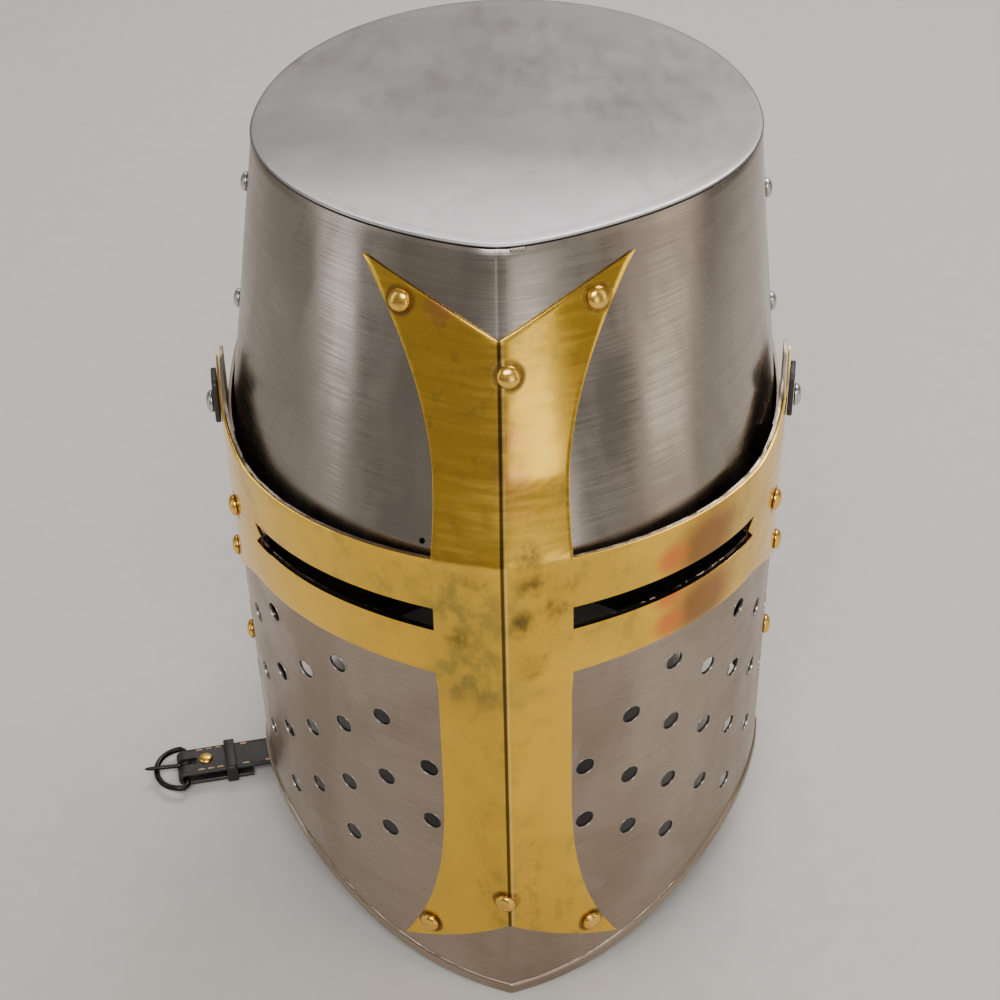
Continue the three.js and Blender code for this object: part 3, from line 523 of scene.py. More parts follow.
rivet_brass = plain_metal("rivet_brass", (0.94, 0.58, 0.12), 0.2)
rivet_steel = plain_metal("rivet_steel", (0.60, 0.59, 0.58), 0.24)
# Near black, for painted shade on the plates' inner faces.
inside_steel = plain_metal("inside_steel", (0.06, 0.054, 0.05), 0.55)
hole_steel = plain_metal("cut_steel", (0.46, 0.43, 0.40), 0.3)
blacked_steel = plain_metal("blacked_steel", (0.035, 0.034, 0.035), 0.3)

# %% [markdown]
# ### Leather and thread
# Strap leather is dyed black and waxed. It has a fine pebbled grain, creases and a tone that is lighter in
# cloudy patches. The thread is a waxed tan linen.


# %% Leather finishes
def leather(name, colour, rough):
    n = Nodes(name)
    cells = n.tree.nodes.new("ShaderNodeTexVoronoi")
    cells.feature = "SMOOTH_F1"
    n.link(n.scaled((900.0, 900.0, 900.0)), cells.inputs["Vector"])
    cells.inputs["Scale"].default_value = 1.0
    pebble = cells.outputs["Distance"]
    cloud = n.noise(n.scaled((60.0, 60.0, 60.0)), detail=4.0, rough=0.6)
    crease = n.noise(n.scaled((240.0, 90.0, 240.0)), detail=3.0, distortion=0.8)
    tone = n.mix(n.ramp(cloud, 0.4, 0.72, 0.0, 0.7), colour, [c * 2.4 + 0.006 for c in colour])
    height = n.math("ADD", n.math("MULTIPLY", pebble, 0.7), n.math("MULTIPLY", crease, 0.6))
    rough_map = n.ramp(cloud, 0.3, 0.7, rough - 0.07, rough + 0.12)
    return n.finish(tone, rough_map, n.bump(height, 0.55, 0.16), 0.0)


black_leather = leather("black_leather", (0.013, 0.012, 0.012), 0.42)
liner_leather = leather("liner_leather", (0.05, 0.033, 0.022), 0.6)
thread = leather("tan_thread", (0.36, 0.24, 0.12), 0.7)
waxed_cord = leather("waxed_cord", (0.16, 0.105, 0.06), 0.6)

# %% [markdown]
# ## The lid
# The lid is a flat disc with its edge hammered over, so it has a rounded shoulder that draws a bright line
# round the top. It isn't quite flat: planishing leaves it rising and falling by a tenth or two of a
# millimetre, enough to bend its reflections. The profile is swept round the crown's outline as closed
# rings, and the middle is closed by a fan.


# %% Make the lid
def crown_ring(inset, z, turns):
    return on_surface(lambda height: blend_levels(CROWN, SKULL_BASE, np.full_like(height, CROWN["z"])),
                      turns, np.full_like(turns, z), -inset)


def make_lid():
    turns = np.concatenate([ridge_turns(86.0, 1.4), np.linspace(87.4, 272.6, 130)])
    under, flange = CROWN["z"] - STEEL, 7.5
    profile = [(4.6, under), (4.6, under - flange), (4.2, under - flange - 0.3), (3.7, under - flange - 0.3),
               (3.4, under - flange), (3.4, under), (0.6, under), (-0.15, under + 0.1),
               (-0.45, under + 0.45), (-0.42, under + 0.75), (-0.2, under + 1.0), (0.3, under + 1.14),
               (1.0, CROWN["z"])]
    rings = [crown_ring(inset, z, turns) for inset, z in profile]
    edge = rings[-1]
    centre = np.array([0.0, 5.0])
    for share in np.linspace(0.97, 0.04, 34):
        ring = edge.copy()
        ring[:, :2] = centre + (edge[:, :2] - centre) * share
        x, y = ring[:, 0], ring[:, 1]
        wave = np.sin(x * 0.041 + 1.3) * np.cos(y * 0.037 - 0.4) + 0.6 * np.sin(x * 0.083 - y * 0.061 + 2.0)
        ring[:, 2] = CROWN["z"] - 0.16 + 0.1 * wave * min(1.0, (1 - share) * 6)
        rings.append(ring)
    count = len(turns)
    points = np.concatenate(rings)
    faces = []
    for j in range(len(rings) - 1):
        for i in range(count):
            k = (i + 1) % count
            faces.append((j * count + i, j * count + k, (j + 1) * count + k, (j + 1) * count + i))
    top, under_middle = len(points), len(points) + 1
    last = (len(rings) - 1) * count
    points = np.concatenate([points, [[0.0, 5.0, CROWN["z"] - 0.16], [0.0, 5.0, under]]])
    for i in range(count):
        k = (i + 1) % count
        faces += [(last + i, last + k, top), (k, i, under_middle)]
    lid = new_piece("top_plate_lid", points, faces, [lid_steel])
    lid.data.set_sharp_from_angle(angle=math.radians(40))
    return lid


settle(make_lid(), HELM, ["top_plate"])

# %% [markdown]
# ## The skull
# Two plates make the upper wall. The front one runs from temple to temple and laps over the rear one,
# and both slope in as they rise. Hammer work shows in long reflections, so the grid gets a slow waviness
# of a few hundredths of a millimetre.


# %% Make the skull plates
def hand_worked(points, depth):
    """The small rise and fall that hammering leaves in a plate."""
    x, y, z = points[..., 0], points[..., 1], points[..., 2]
    wave = np.sin(z * 0.09 + x * 0.05) * np.cos(x * 0.07 - y * 0.045) + np.sin(y * 0.083 + z * 0.031 + 1.0)
    return depth * wave


def skull_plate(name, turns, lift):
    heights = np.linspace(SKULL_BOTTOM, SKULL_TOP, 34)
    turn, z = np.meshgrid(turns, heights)
    wave = hand_worked(on_surface(skull_level, turn, z), 0.035) - 0.07 - 0.3 * np.exp(-(turn / 0.5) ** 2)
    outer = on_surface(skull_level, turn, z, lift + wave)
    inner = on_surface(skull_level, turn, z, lift - STEEL + 0 * z)
    return shell(name, outer, inner, polished_steel)


skull_front = soften(skull_plate("skull_front", ridge_turns(SKULL_SEAM), 0.0), 0.2)
settle(paint_inside_shade(skull_front, inside_steel), HELM, ["skull_front_plate"])
skull_rear = soften(skull_plate("skull_rear", np.linspace(SKULL_UNDER, 360 - SKULL_UNDER, 150), -LAP), 0.2)
settle(paint_inside_shade(skull_rear, inside_steel), HELM, ["skull_rear_plate"])

# %% [markdown]
# ## The lower plates
# The face plate and the neck plate have their lower edge folded back on itself, outside in front and inside
# behind, so that it doesn't cut the wearer. The fold is a rounded bead in the section, which is why the
# rows crowd together there. The rim dips to a point in front and arches up at the sides.

# %% Rim and section of the lower plates
ARM = dict(low=169.0, high=223.5, start=10.0, end=82.0, flare_from=58.0,
           flare_down=30.0, flare_up=17.0, power=1.6)
SLOT = dict(low=190.0, high=200.5, start=11.5, end=55.5, fishtail=2.2)
HEM_SECTION = ((0.0, -0.35, -0.85), (0.22, 0.3, -1.15), (0.7, 0.72, -STEEL),
               (1.4, 0.9, -STEEL), (4.2, 0.9, -STEEL), (4.9, 0.76, -STEEL),
               (5.35, 0.4, -STEEL), (5.6, 0.05, -STEEL), (6.2, 0.0, -STEEL))


def rim_height(turn):
    away = np.abs(turn)
    front = SIDE_RISE * (0.5 - 0.5 * np.cos(np.pi * np.minimum(away / 78, 1))) ** 1.15
    rear = SIDE_RISE * (0.5 + 0.5 * np.cos(np.pi * np.clip((away - 90) / 54, 0, 1)))
    return np.where(away < 90, front, rear)


def arm_spread(turn):
    share = np.maximum((np.abs(turn) - ARM["flare_from"]) / (ARM["end"] - ARM["flare_from"]), 0)
    return share ** ARM["power"]


def lower_plate(name, turns, tops, section, lap):
    """Rows follow the rim first, and level out towards the top."""
    rim = rim_height(180 - np.abs(180 - turns) if lap else turns)
    rows_outer, rows_inner = [], []
    for up, proud, back in section:
        rows_outer.append(on_surface(face_level, turns, rim + up, -lap + proud + 0 * turns))
        rows_inner.append(on_surface(face_level, turns, rim + up, -lap + back + 0 * turns))
    start = rim + section[-1][0]
    for share in np.linspace(0, 1, 46)[1:]:
        z = start + (tops - start) * share
        wave = hand_worked(on_surface(face_level, turns, z), 0.03) - 0.06
        rows_outer.append(on_surface(face_level, turns, z, -lap + wave))
        rows_inner.append(on_surface(face_level, turns, z, -lap - STEEL + 0 * turns))
    return shell(name, np.stack(rows_outer), np.stack(rows_inner), brushed_steel)


face_turns = ridge_turns(FACE_EDGE, 1.1)
face_tops = ARM["high"] - 0.5 + ARM["flare_up"] * arm_spread(np.minimum(np.abs(face_turns), ARM["end"]))
face = lower_plate("face", face_turns, face_tops, HEM_SECTION, 0.0)

neck_section = [(up, min(0.0, up - 0.75), -STEEL - proud) for up, proud, _ in HEM_SECTION]
neck_turns = np.linspace(NECK_START, 360 - NECK_START, 190)
neck = lower_plate("neck", neck_turns, np.full_like(neck_turns, NECK_TOP), neck_section, LAP)

# %% [markdown]
# ### Breath holes and eye slots
# The breath holes are drilled in slanting rows. Geometry Nodes set one punch on each marked place, turned
# to face out of the sheet, and a Mesh Boolean takes all the punches out at once. The last holes of two
# rows pass through the neck plate as well, where it lies behind. A second tree sets a thin worn ring in
# each hole, because a drilled edge is filed and shines. The eye slots are two single cuts, so a plain
# Boolean with a bent solid does them, through the plate and the brass together.

# %% Breath hole places
BREATH_RADIUS = 3.9
BREATH_ROWS = ((0, 3, -29.0), (0, 5, 0.0), (1, 5, 33.0), (2, 5, 66.0), (4, 3, 99.0))
breath_places = []
for sign in (-1, 1):
    for first, count, rise in BREATH_ROWS:
        for column in range(first, first + count):
            turn, z = 15.8 + column * 9.9, 116.0 + rise - column * 15.0
            breath_places.append(axis_at(face_level, sign * turn, z))
print("breath holes", len(breath_places))


def marked_points(name, places):
    """Loose vertices with the way that each one faces, for Geometry Nodes to work on."""
    mesh = bpy.data.meshes.new(name)
    mesh.from_pydata([tuple(point * MM) for point, _ in places], [], [])
    axis = mesh.attributes.new("axis", "FLOAT_VECTOR", "POINT")
    axis.data.foreach_set("vector", np.array([out for _, out in places], np.float32).ravel())
    marks = bpy.data.objects.new(name, mesh)
    bpy.context.scene.collection.objects.link(marks)
    return marks


# %% Geometry Nodes helpers
class Tree:
    """A Geometry Nodes tree with named inputs."""

    def __init__(self, name):
        self.group = bpy.data.node_groups.new(name, "GeometryNodeTree")
        self.group.interface.new_socket("Geometry", in_out="INPUT", socket_type="NodeSocketGeometry")
        self.group.interface.new_socket("Geometry", in_out="OUTPUT", socket_type="NodeSocketGeometry")
        self.start = self.node("NodeGroupInput")
        self.end = self.node("NodeGroupOutput")
        self.given = {}

    def node(self, kind, **inputs):
        made = self.group.nodes.new(kind)
        for key, value in inputs.items():
            self.feed(made, key.replace("_", " "), value)
        return made

    def feed(self, node, key, value):
        socket = node.inputs[key]
        if isinstance(value, bpy.types.NodeSocket):
            self.group.links.new(value, socket)
        else:
            socket.default_value = value

    def ask(self, name, kind, value):
        """A named input of the tree, and the value that it is set to."""
        socket = self.group.interface.new_socket(name, in_out="INPUT", socket_type=kind)
        self.given[socket.identifier] = value
        return self.start.outputs[name]

    def facing(self):
        """Turns instances so that their Z axis follows the mark's own axis."""
        named = self.node("GeometryNodeInputNamedAttribute")
        named.data_type = "FLOAT_VECTOR"
        named.inputs["Name"].default_value = "axis"
        turn = self.node("FunctionNodeAlignRotationToVector")
        turn.axis = "Z"
        self.group.links.new(named.outputs["Attribute"], turn.inputs["Vector"])
        return turn.outputs["Rotation"]

    def finish(self, geometry, material=None):
        whole = self.node("GeometryNodeRealizeInstances", Geometry=geometry)
        last = whole.outputs["Geometry"]
        if material is not None:
            last = self.node("GeometryNodeSetMaterial", Geometry=last, Material=material).outputs["Geometry"]
        self.group.links.new(last, self.end.inputs["Geometry"])

    def run(self, target):
        """Runs the tree on an object and leaves a plain mesh."""
        modifier = target.modifiers.new(self.group.name, "NODES")
        modifier.node_group = self.group
        for identifier, value in self.given.items():
            modifier[identifier] = value
        return apply_modifiers(target)


# %% Punch the breath holes
def punch_holes(plate, places, radius):
    marks = marked_points("breath_marks", places)
    tree = Tree("breath_holes")
    reach = tree.ask("Punch Length", "NodeSocketFloat", 12 * MM)
    size = tree.ask("Hole Radius", "NodeSocketFloat", radius * MM)
    marks_in = tree.ask("Marks", "NodeSocketObject", marks)
    placed = tree.node("GeometryNodeObjectInfo", Object=marks_in)
    punch = tree.node("GeometryNodeMeshCylinder", Vertices=28, Radius=size, Depth=reach)
    punches = tree.node("GeometryNodeInstanceOnPoints", Points=placed.outputs["Geometry"],
                        Instance=punch.outputs["Mesh"], Rotation=tree.facing())
    solid = tree.node("GeometryNodeRealizeInstances", Geometry=punches.outputs["Instances"])
    cut = tree.node("GeometryNodeMeshBoolean")
    cut.operation = "DIFFERENCE"
    cut.solver = "EXACT"
    tree.group.links.new(tree.start.outputs["Geometry"], cut.inputs["Mesh 1"])
    tree.group.links.new(solid.outputs["Geometry"], cut.inputs["Mesh 2"])
    tree.finish(cut.outputs["Mesh"], brushed_steel)
    tree.run(plate)
    bpy.data.objects.remove(marks)
    return plate


def slot_solid(sign):
    across, up = np.meshgrid(np.linspace(0, 1, 40), np.linspace(0, 1, 9))
    end = SLOT["end"] + SLOT["fishtail"] * np.abs(2 * up - 1)
    turn = sign * (SLOT["start"] + (end - SLOT["start"]) * (1 - across if sign < 0 else across))
    z = SLOT["low"] + (SLOT["high"] - SLOT["low"]) * up
    outer = on_surface(face_level, turn, z, 5.0 + 0 * z)
    inner = on_surface(face_level, turn, z, -5.0 + 0 * z)
    return shell("slot_cutter", outer, inner, hole_steel)


def cut_slots(piece, signs):
    cutters = [slot_solid(sign) for sign in signs]
    for cutter in cutters:
        modifier = piece.modifiers.new("eye_slot", "BOOLEAN")
        modifier.operation = "DIFFERENCE"
        modifier.solver = "EXACT"
        modifier.object = cutter
    apply_modifiers(piece)
    for cutter in cutters:
        bpy.data.objects.remove(cutter)
    return piece


cut_slots(face, (-1, 1))
for plate, node in ((face, "face_plate"), (neck, "neck_plate")):
    punch_holes(plate, breath_places, BREATH_RADIUS)
    settle(paint_inside_shade(soften(plate, 0.16, 2, 44.0), inside_steel), HELM, [node])


# %% Rings in the holes
def ring_section(radius):
    """A thin ring with a worn lip: the filed edge of one hole."""
    profile = [(radius - 0.02, -1.0), (radius - 0.05, -0.15), (radius + 0.03, 0.03), (radius + 0.16, 0.05),
               (radius + 0.26, -0.02), (radius + 0.26, -0.3), (radius + 0.1, -0.6)]
    sides = 28
    points, faces = [], []
    for i in range(sides):
        angle = 2 * math.pi * i / sides
        points += [(r * math.cos(angle), r * math.sin(angle), z) for r, z in profile]
    size = len(profile)
    for i in range(sides):
        k = (i + 1) % sides
        for j in range(size):
            m = (j + 1) % size
            faces.append((i * size + j, k * size + j, k * size + m, i * size + m))
    return points, faces


def scatter(name, places, points, faces, material):
    """One small shape on every marked place, through Geometry Nodes."""
    shape = new_piece(name + "_shape", points, faces, [material])
    face_outward(shape.data)
    marks = marked_points(name, places)
    tree = Tree(name + "_tree")
    size = tree.ask("Size", "NodeSocketFloat", 1.0)
    shape_in = tree.ask("Shape", "NodeSocketObject", shape)
    placed = tree.node("GeometryNodeObjectInfo", Object=shape_in)
    copies = tree.node("GeometryNodeInstanceOnPoints", Points=tree.start.outputs["Geometry"],
                       Instance=placed.outputs["Geometry"], Rotation=tree.facing())
    tree.group.links.new(size, copies.inputs["Scale"])
    tree.finish(copies.outputs["Instances"], material)
    tree.run(marks)
    bpy.data.objects.remove(shape)
    marks.data.set_sharp_from_angle(angle=math.radians(60))
    return marks


rings = scatter("breath_hole_edges", breath_places, *ring_section(BREATH_RADIUS), hole_steel)
settle(rings, HELM)

# %% [markdown]
# ## The brass cross
# The upright is one strip folded along its middle. It lies on the skull, steps down over the arms' inner
# ends and follows the face plate to the rim, and both its ends are cut to a V with long points. The arms
# lie on the face plate and flare at the temples. All of them are sheared from sheet, so their edges are
# crisp with a fine bright line, which the small bevel gives.

# %% Make the upright
BAR_HALF_TURN = 12.7
BAR_TOP = dict(notch=291.8, tip=310.2, flare_from=235.0, flare=16.1, power=2.3)
BAR_BOTTOM = dict(notch=42.0, tip=15.0, flare_from=120.0, flare=10.7, power=3.0)
# Above the arms the upright runs straight in to the skull: its own lean, the skull's lean, and how far
# out the upright starts.
BAR_LEAN, SKULL_LEAN, BAR_STEP = 0.59, 0.4256, 4.19


def bar_edge(z):
    """Half the upright's width, as a turn, with its flare at either end."""
    edge = BAR_HALF_TURN
    for end in (BAR_TOP, BAR_BOTTOM):
        along = np.maximum((z - end["flare_from"]) / (end["tip"] - end["flare_from"]), 0)
        edge = edge + end["flare"] * along ** end["power"]
    return edge


def bar_surface(turn, z, lift):
    face_part = on_surface(face_level, turn, z, BAR_GAP + lift)
    arm_part = on_surface(face_level, turn, z, ARM_GAP + BRASS + GAP + lift)
    skull_part = on_surface(skull_level, turn, z, BAR_GAP + lift)
    over_arm = smooth_step(z, 158, 167)[..., None]
    above = np.maximum(z - 224, 0)[..., None]
    on_skull = np.clip(BAR_LEAN * above / (BAR_STEP + SKULL_LEAN * above), 0, 1)
    lower = face_part + (arm_part - face_part) * over_arm
    return lower + (skull_part - lower) * on_skull


def make_upright():
    half = np.concatenate([[0.018, 0.05, 0.1], np.linspace(0.18, 1, 13)])
    across = np.concatenate([-half[::-1], [0.0], half])
    shares = np.linspace(0, 1, 118)
    across, share = np.meshgrid(across, shares)
    top = BAR_TOP["notch"] + (BAR_TOP["tip"] - BAR_TOP["notch"]) * np.abs(across)
    bottom = BAR_BOTTOM["notch"] + (BAR_BOTTOM["tip"] - BAR_BOTTOM["notch"]) * np.abs(across)
    z = bottom + (top - bottom) * share
    turn = across * bar_edge(z)
    wave = hand_worked(bar_surface(turn, z, 0 * z), 0.03) - 0.06
    return shell("cross_upright", bar_surface(turn, z, BRASS + wave), bar_surface(turn, z, 0 * z), brass)


settle(soften(make_upright(), 0.22), HELM, ["upright_bar"])


# %% Make the arms
def make_arm(name, sign):
    shares, ups = np.linspace(0, 1, 96), np.linspace(0, 1, 25)
    share, up = np.meshgrid(shares if sign > 0 else shares[::-1], ups)
    end = ARM["end"] - 3 * (1 - np.abs(2 * up - 1))
    turn = ARM["start"] + (end - ARM["start"]) * share
    spread = arm_spread(turn)
    low, high = ARM["low"] - ARM["flare_down"] * spread, ARM["high"] + ARM["flare_up"] * spread
    z = low + (high - low) * up
    wave = hand_worked(on_surface(face_level, turn, z), 0.03) - 0.06
    outer = on_surface(face_level, sign * turn, z, ARM_GAP + BRASS + wave)
    inner = on_surface(face_level, sign * turn, z, ARM_GAP + 0 * z)
    return shell(name, outer, inner, brass)


for side, sign in (("left", -1), ("right", 1)):
    arm = cut_slots(make_arm(f"cross_{side}_arm", sign), (sign,))
    settle(soften(arm, 0.2), HELM, [f"cross_arm_{side}"])

# %% [markdown]
# ## Rivets
# A rivet head is a low dome with a slightly flattened crown. The tail inside is a smaller, flatter button.
# They repeat many times and only their place differs, so one dome is modelled and Geometry Nodes copy
# it to each marked axis.


# %% Make the rivets
def dome(radius, height, sides=24):
    """A turned head: a short upright edge, a round shoulder and a flattened top."""
    rows = [(radius * 0.93, -0.45), (radius, 0.0), (radius * 0.995, 0.16)]
    rows += [(radius * math.cos(a) ** 0.9, 0.16 + (height - 0.16) * math.sin(a))
             for a in np.radians([14, 28, 42, 56, 69, 80])]
    points = [(0.0, 0.0, -0.45)]
    for r, z in rows:
        points += [(r * math.cos(2 * math.pi * i / sides), r * math.sin(2 * math.pi * i / sides), z)
                   for i in range(sides)]
    top = len(points)
    points.append((0.0, 0.0, height))
    faces = []
    for i in range(sides):
        k = (i + 1) % sides
        faces.append((0, 1 + k, 1 + i))
        for j in range(len(rows) - 1):
            a, b = 1 + j * sides, 1 + (j + 1) * sides
            faces.append((a + i, a + k, b + k, b + i))
        last = 1 + (len(rows) - 1) * sides
        faces.append((last + i, last + k, top))
    return points, faces


def rivet_set(name, rivets, radius, height, material, body, replaced):
    heads = [(point + out * (seat + 0.45), out) for point, out, seat, _ in rivets]
    tails = [(point + out * (seat - grip + 0.45), -out) for point, out, seat, grip in rivets]
    settle(scatter(name, heads, *dome(radius, height - 0.15), material), body, replaced)
    settle(scatter(name + "_tails", tails, *dome(radius * 0.66, 0.9, 16), material), body)


brass_nodes = [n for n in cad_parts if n.startswith(("upright_rivet", "arm_rivet", "face_rivet"))]
seam_nodes = [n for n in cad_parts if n.startswith(("seam_rivet", "neck_rivet"))]
temple_nodes = [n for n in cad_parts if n.startswith("temple_rivet")]
rivet_set("brass_rivets", brass_rivets, 4.05, 2.45, rivet_brass, HELM, brass_nodes)
rivet_set("seam_rivets", seam_rivets, 3.7, 2.3, rivet_steel, HELM, seam_nodes)
rivet_set("temple_rivets", temple_rivets, 4.3, 2.5, rivet_steel, HELM, temple_nodes)

# %% [markdown]
# ### A weld at the lid
# The lid's front edge has a small run of weld beside the ridge, left from fixing the flange. Low beads
# of steel that run into each other make it.

# %% Make the weld
weld_places = [axis_at(skull_level, turn, 318.0) for turn in (3.0, 3.6, 4.2, 4.8, 5.4)]
settle(scatter("lid_weld_beads", weld_places, *dome(0.9, 0.5, 14), polished_steel), HELM)

# %% [markdown]
# ## Leather at the temples
# A small leather tab lies under each temple rivet and keeps the steel head off the brass. It is cut with
# round corners. A rounded outline, extruded and bevelled, is the short way to make such a flat piece.


# %% Make the tabs
def flat_leather(name, outline_points, thickness, origin, across, up, out):
    """A flat piece of leather from an outline given as across and up."""
    count = len(outline_points)
    points = []
    for lift in (thickness, 0.0):
        points += [origin + across * a + up * b + out * lift for a, b in outline_points]
    faces = [tuple(range(count)), tuple(reversed(range(count, 2 * count)))]
    for i in range(count):
        k = (i + 1) % count
        faces.append((i, count + i, count + k, k))
    return soften(new_piece(name, points, faces, [black_leather]), 0.45, 2, 50.0)


def rounded_box(low_a, high_a, low_b, high_b, radius, steps=5):
    points = []
    for a, b, start in ((high_a, low_b, -90), (high_a, high_b, 0), (low_a, high_b, 90), (low_a, low_b, 180)):
        ca = a - radius if a == high_a else a + radius
        cb = b - radius if b == high_b else b + radius
        for i in range(steps + 1):
            angle = math.radians(start + 90 * i / steps)
            points.append((ca + radius * math.cos(angle), cb + radius * math.sin(angle)))
    return points


UP = np.array([0.0, 0.0, 1.0])
for side, sign in (("left", -1), ("right", 1)):
    point, out = temple_axis(sign)
    tab = flat_leather(f"temple_tab_{side}_leather", rounded_box(-6.4, 6.4, -6.9, 11.9, 3.0), TAB_THICKNESS,
                       point + out * (ARM_SEAT + 0.1), np.cross(UP, out), UP, out)
    settle(tab, HELM, [f"temple_tab_{side}"])

# %% [markdown]
# ## The liner
# Inside hangs a leather band on its rivets, and six tongues rise from it to a lace, so that the helm rides
# on the head without touching it. From outside it only darkens the slots, but the hollow would look bare
# from below without it. The tongues are curved shells with narrowing sides.

# %% Make the liner
LINER = dict(low=239.0, high=268.0, outer=-3.4, thickness=2.0, apex_radius=20.0, apex_z=298.0)


def liner_band():
    turns = np.linspace(0, 360, 144, endpoint=False)
    heights = np.linspace(LINER["low"], LINER["high"], 7)
    turn, z = np.meshgrid(turns, heights)
    outer = on_surface(skull_level, turn, z, LINER["outer"] + 0 * z)
    inner = on_surface(skull_level, turn, z, LINER["outer"] - LINER["thickness"] + 0 * z)
    return shell("liner_band_leather", outer, inner, liner_leather, closed=True)


def liner_tongue(index):
    middle = (index + 0.5) * 60.0
    shares, rows = np.linspace(0, 1, 15), np.linspace(0, 6, 25)
    share, row = np.meshgrid(shares, rows)
    lean = np.maximum(row - 1, 0) / 5 * (math.pi / 2)
    turn = middle + (2 * share - 1) * (25 + (17 - 25) * row / 6)
    start, shoulder = LINER["high"] - 8, LINER["high"] + 1
    faces = []
    for thickness in (0.1, 1.5):
        inset = LINER["outer"] - LINER["thickness"] - 0.5 - thickness
        z = np.where(row < 1, start + (shoulder - start) * row, shoulder)
        foot = on_surface(skull_level, turn, z, inset + 0 * row)
        angle = np.radians(turn)
        tip = np.stack([np.sin(angle), -np.cos(angle)], -1) * LINER["apex_radius"]
        grid = foot.copy()
        grid[..., :2] = foot[..., :2] + (tip - foot[..., :2]) * (1 - np.cos(lean))[..., None]
        grid[..., 2] += (LINER["apex_z"] - shoulder - thickness) * np.sin(lean)
        faces.append(grid)
    return shell(f"liner_tongue_{index + 1}_leather", *faces, liner_leather)


settle(soften(liner_band(), 0.4), HELM, ["liner_band"])
for index in range(6):
    settle(soften(liner_tongue(index), 0.35), HELM, [f"liner_tongue_{index + 1}"])


# %% Wire and cord
def ring_of_wire(name, path, radius, sides, up, material, twist=0.0, strands=0):
    """A closed ring of round section. With strands the section is that of a laid cord."""
    path = np.asarray(path, float)
    count = len(path)
    along = np.roll(path, -1, 0) - np.roll(path, 1, 0)
    along /= np.linalg.norm(along, axis=1, keepdims=True)
    side = np.cross(up, along)
    side /= np.linalg.norm(side, axis=1, keepdims=True)
    over = np.cross(along, side)
    points = []
    for i in range(count):
        for k in range(sides):
            angle = 2 * math.pi * k / sides
            size = radius
            if strands:
                size = radius * (0.86 + 0.14 * abs(math.cos(strands * 0.5 * (angle + twist * i / count))))
            points.append(path[i] + side[i] * size * math.cos(angle) + over[i] * size * math.sin(angle))
    faces = []
    for i in range(count):
        j = (i + 1) % count
        for k in range(sides):
            m = (k + 1) % sides
            faces.append((i * sides + k, i * sides + m, j * sides + m, j * sides + k))
    piece = new_piece(name, np.array(points), faces, [material])
    face_outward(piece.data)
    return piece


lace_path = [((LINER["apex_radius"] + 4) * math.cos(a), (LINER["apex_radius"] + 4) * math.sin(a), 300.2)
             for a in np.linspace(0, 2 * math.pi, 120, endpoint=False)]
lace = ring_of_wire("liner_lace_cord", lace_path, 1.4, 12, UP, waxed_cord, twist=2 * math.pi * 24, strands=3)
settle(lace, HELM, ["liner_lace"])

# %% [markdown]
# ## The buckle strap
# The left strap is one length of leather. It hangs from the temple rivet, runs down inside the neck plate,
# slips out under the rim and ends in a fold round the buckle's bar, closed by a rivet. It is swept as one
# rounded band along one smooth route, so there is no joint to see where it bends: the part past the rim runs
# in line with the buckle, and the turn of the strap's width is blended along the bend.

# %% Route of the buckle strap
STRAP_WIDTH, TAIL_LENGTH, BAR_Z, WIRE, FOLD_SKIN = 16.0, 32.0, 4.5, 1.3, 1.95
FOLD_INNER = WIRE + 0.35
TAIL_HINGE = np.array([-116.0, -4.0, BAR_Z + FOLD_INNER + FOLD_SKIN / 2])
tail_angle = math.radians(12.0)
TAIL_ALONG = np.array([-math.cos(tail_angle), -math.sin(tail_angle), 0.0])
TAIL_ACROSS = np.array([math.sin(tail_angle), -math.cos(tail_angle), 0.0])


def tail_point(distance, across, z):
    point = TAIL_HINGE + TAIL_ALONG * distance + TAIL_ACROSS * across
    return np.array([point[0], point[1], z])


def smooth_route(points, per_span=7):
    """A Catmull-Rom curve through the points."""
    points = np.asarray(points, float)
    padded = np.concatenate([[2 * points[0] - points[1]], points, [2 * points[-1] - points[-2]]])
    out = []
    for i in range(1, len(padded) - 2):
        p0, p1, p2, p3 = padded[i - 1:i + 3]
        for t in np.linspace(0, 1, per_span, endpoint=False):
            out.append(0.5 * (2 * p1 + (p2 - p0) * t + (2 * p0 - 5 * p1 + 4 * p2 - p3) * t ** 2
                              + (3 * p1 - p0 - 3 * p2 + p3) * t ** 3))
    out.append(points[-1])
    return np.array(out)


def band(name, route, across, width, thickness, material):
    """A flat strap with rounded edges, swept along a route. across is given for each point of the route."""
    route, across = np.asarray(route, float), np.asarray(across, float)
    along = np.gradient(route, axis=0)
    along /= np.linalg.norm(along, axis=1, keepdims=True)
    across = across - along * np.sum(across * along, 1, keepdims=True)
    across /= np.linalg.norm(across, axis=1, keepdims=True)
    face = np.cross(along, across)
    edge = min(0.55, thickness * 0.3)
    section = [(-width / 2, -thickness / 2 + edge), (-width / 2 + edge, -thickness / 2)]
    section += [(a, -thickness / 2) for a in np.linspace(-width / 2, width / 2, 9)[1:-1]]
    section += [(width / 2 - edge, -thickness / 2), (width / 2, -thickness / 2 + edge),
                (width / 2, thickness / 2 - edge), (width / 2 - edge, thickness / 2)]
    section += [(a, thickness / 2) for a in np.linspace(width / 2, -width / 2, 9)[1:-1]]
    section += [(-width / 2 + edge, thickness / 2), (-width / 2, thickness / 2 - edge)]
    points = [point + s * a + f * b for point, s, f in zip(route, across, face) for a, b in section]
    size, faces = len(section), []
    for j in range(len(route) - 1):
        for i in range(size):
            k = (i + 1) % size
            faces.append((j * size + i, j * size + k, (j + 1) * size + k, (j + 1) * size + i))
    last = (len(route) - 1) * size
    faces += [tuple(reversed(range(size))), tuple(last + i for i in range(size))]
    piece = new_piece(name, np.array(points), faces, [material])
    face_outward(piece.data)
    piece.data.set_sharp_from_angle(angle=math.radians(60))
    return piece


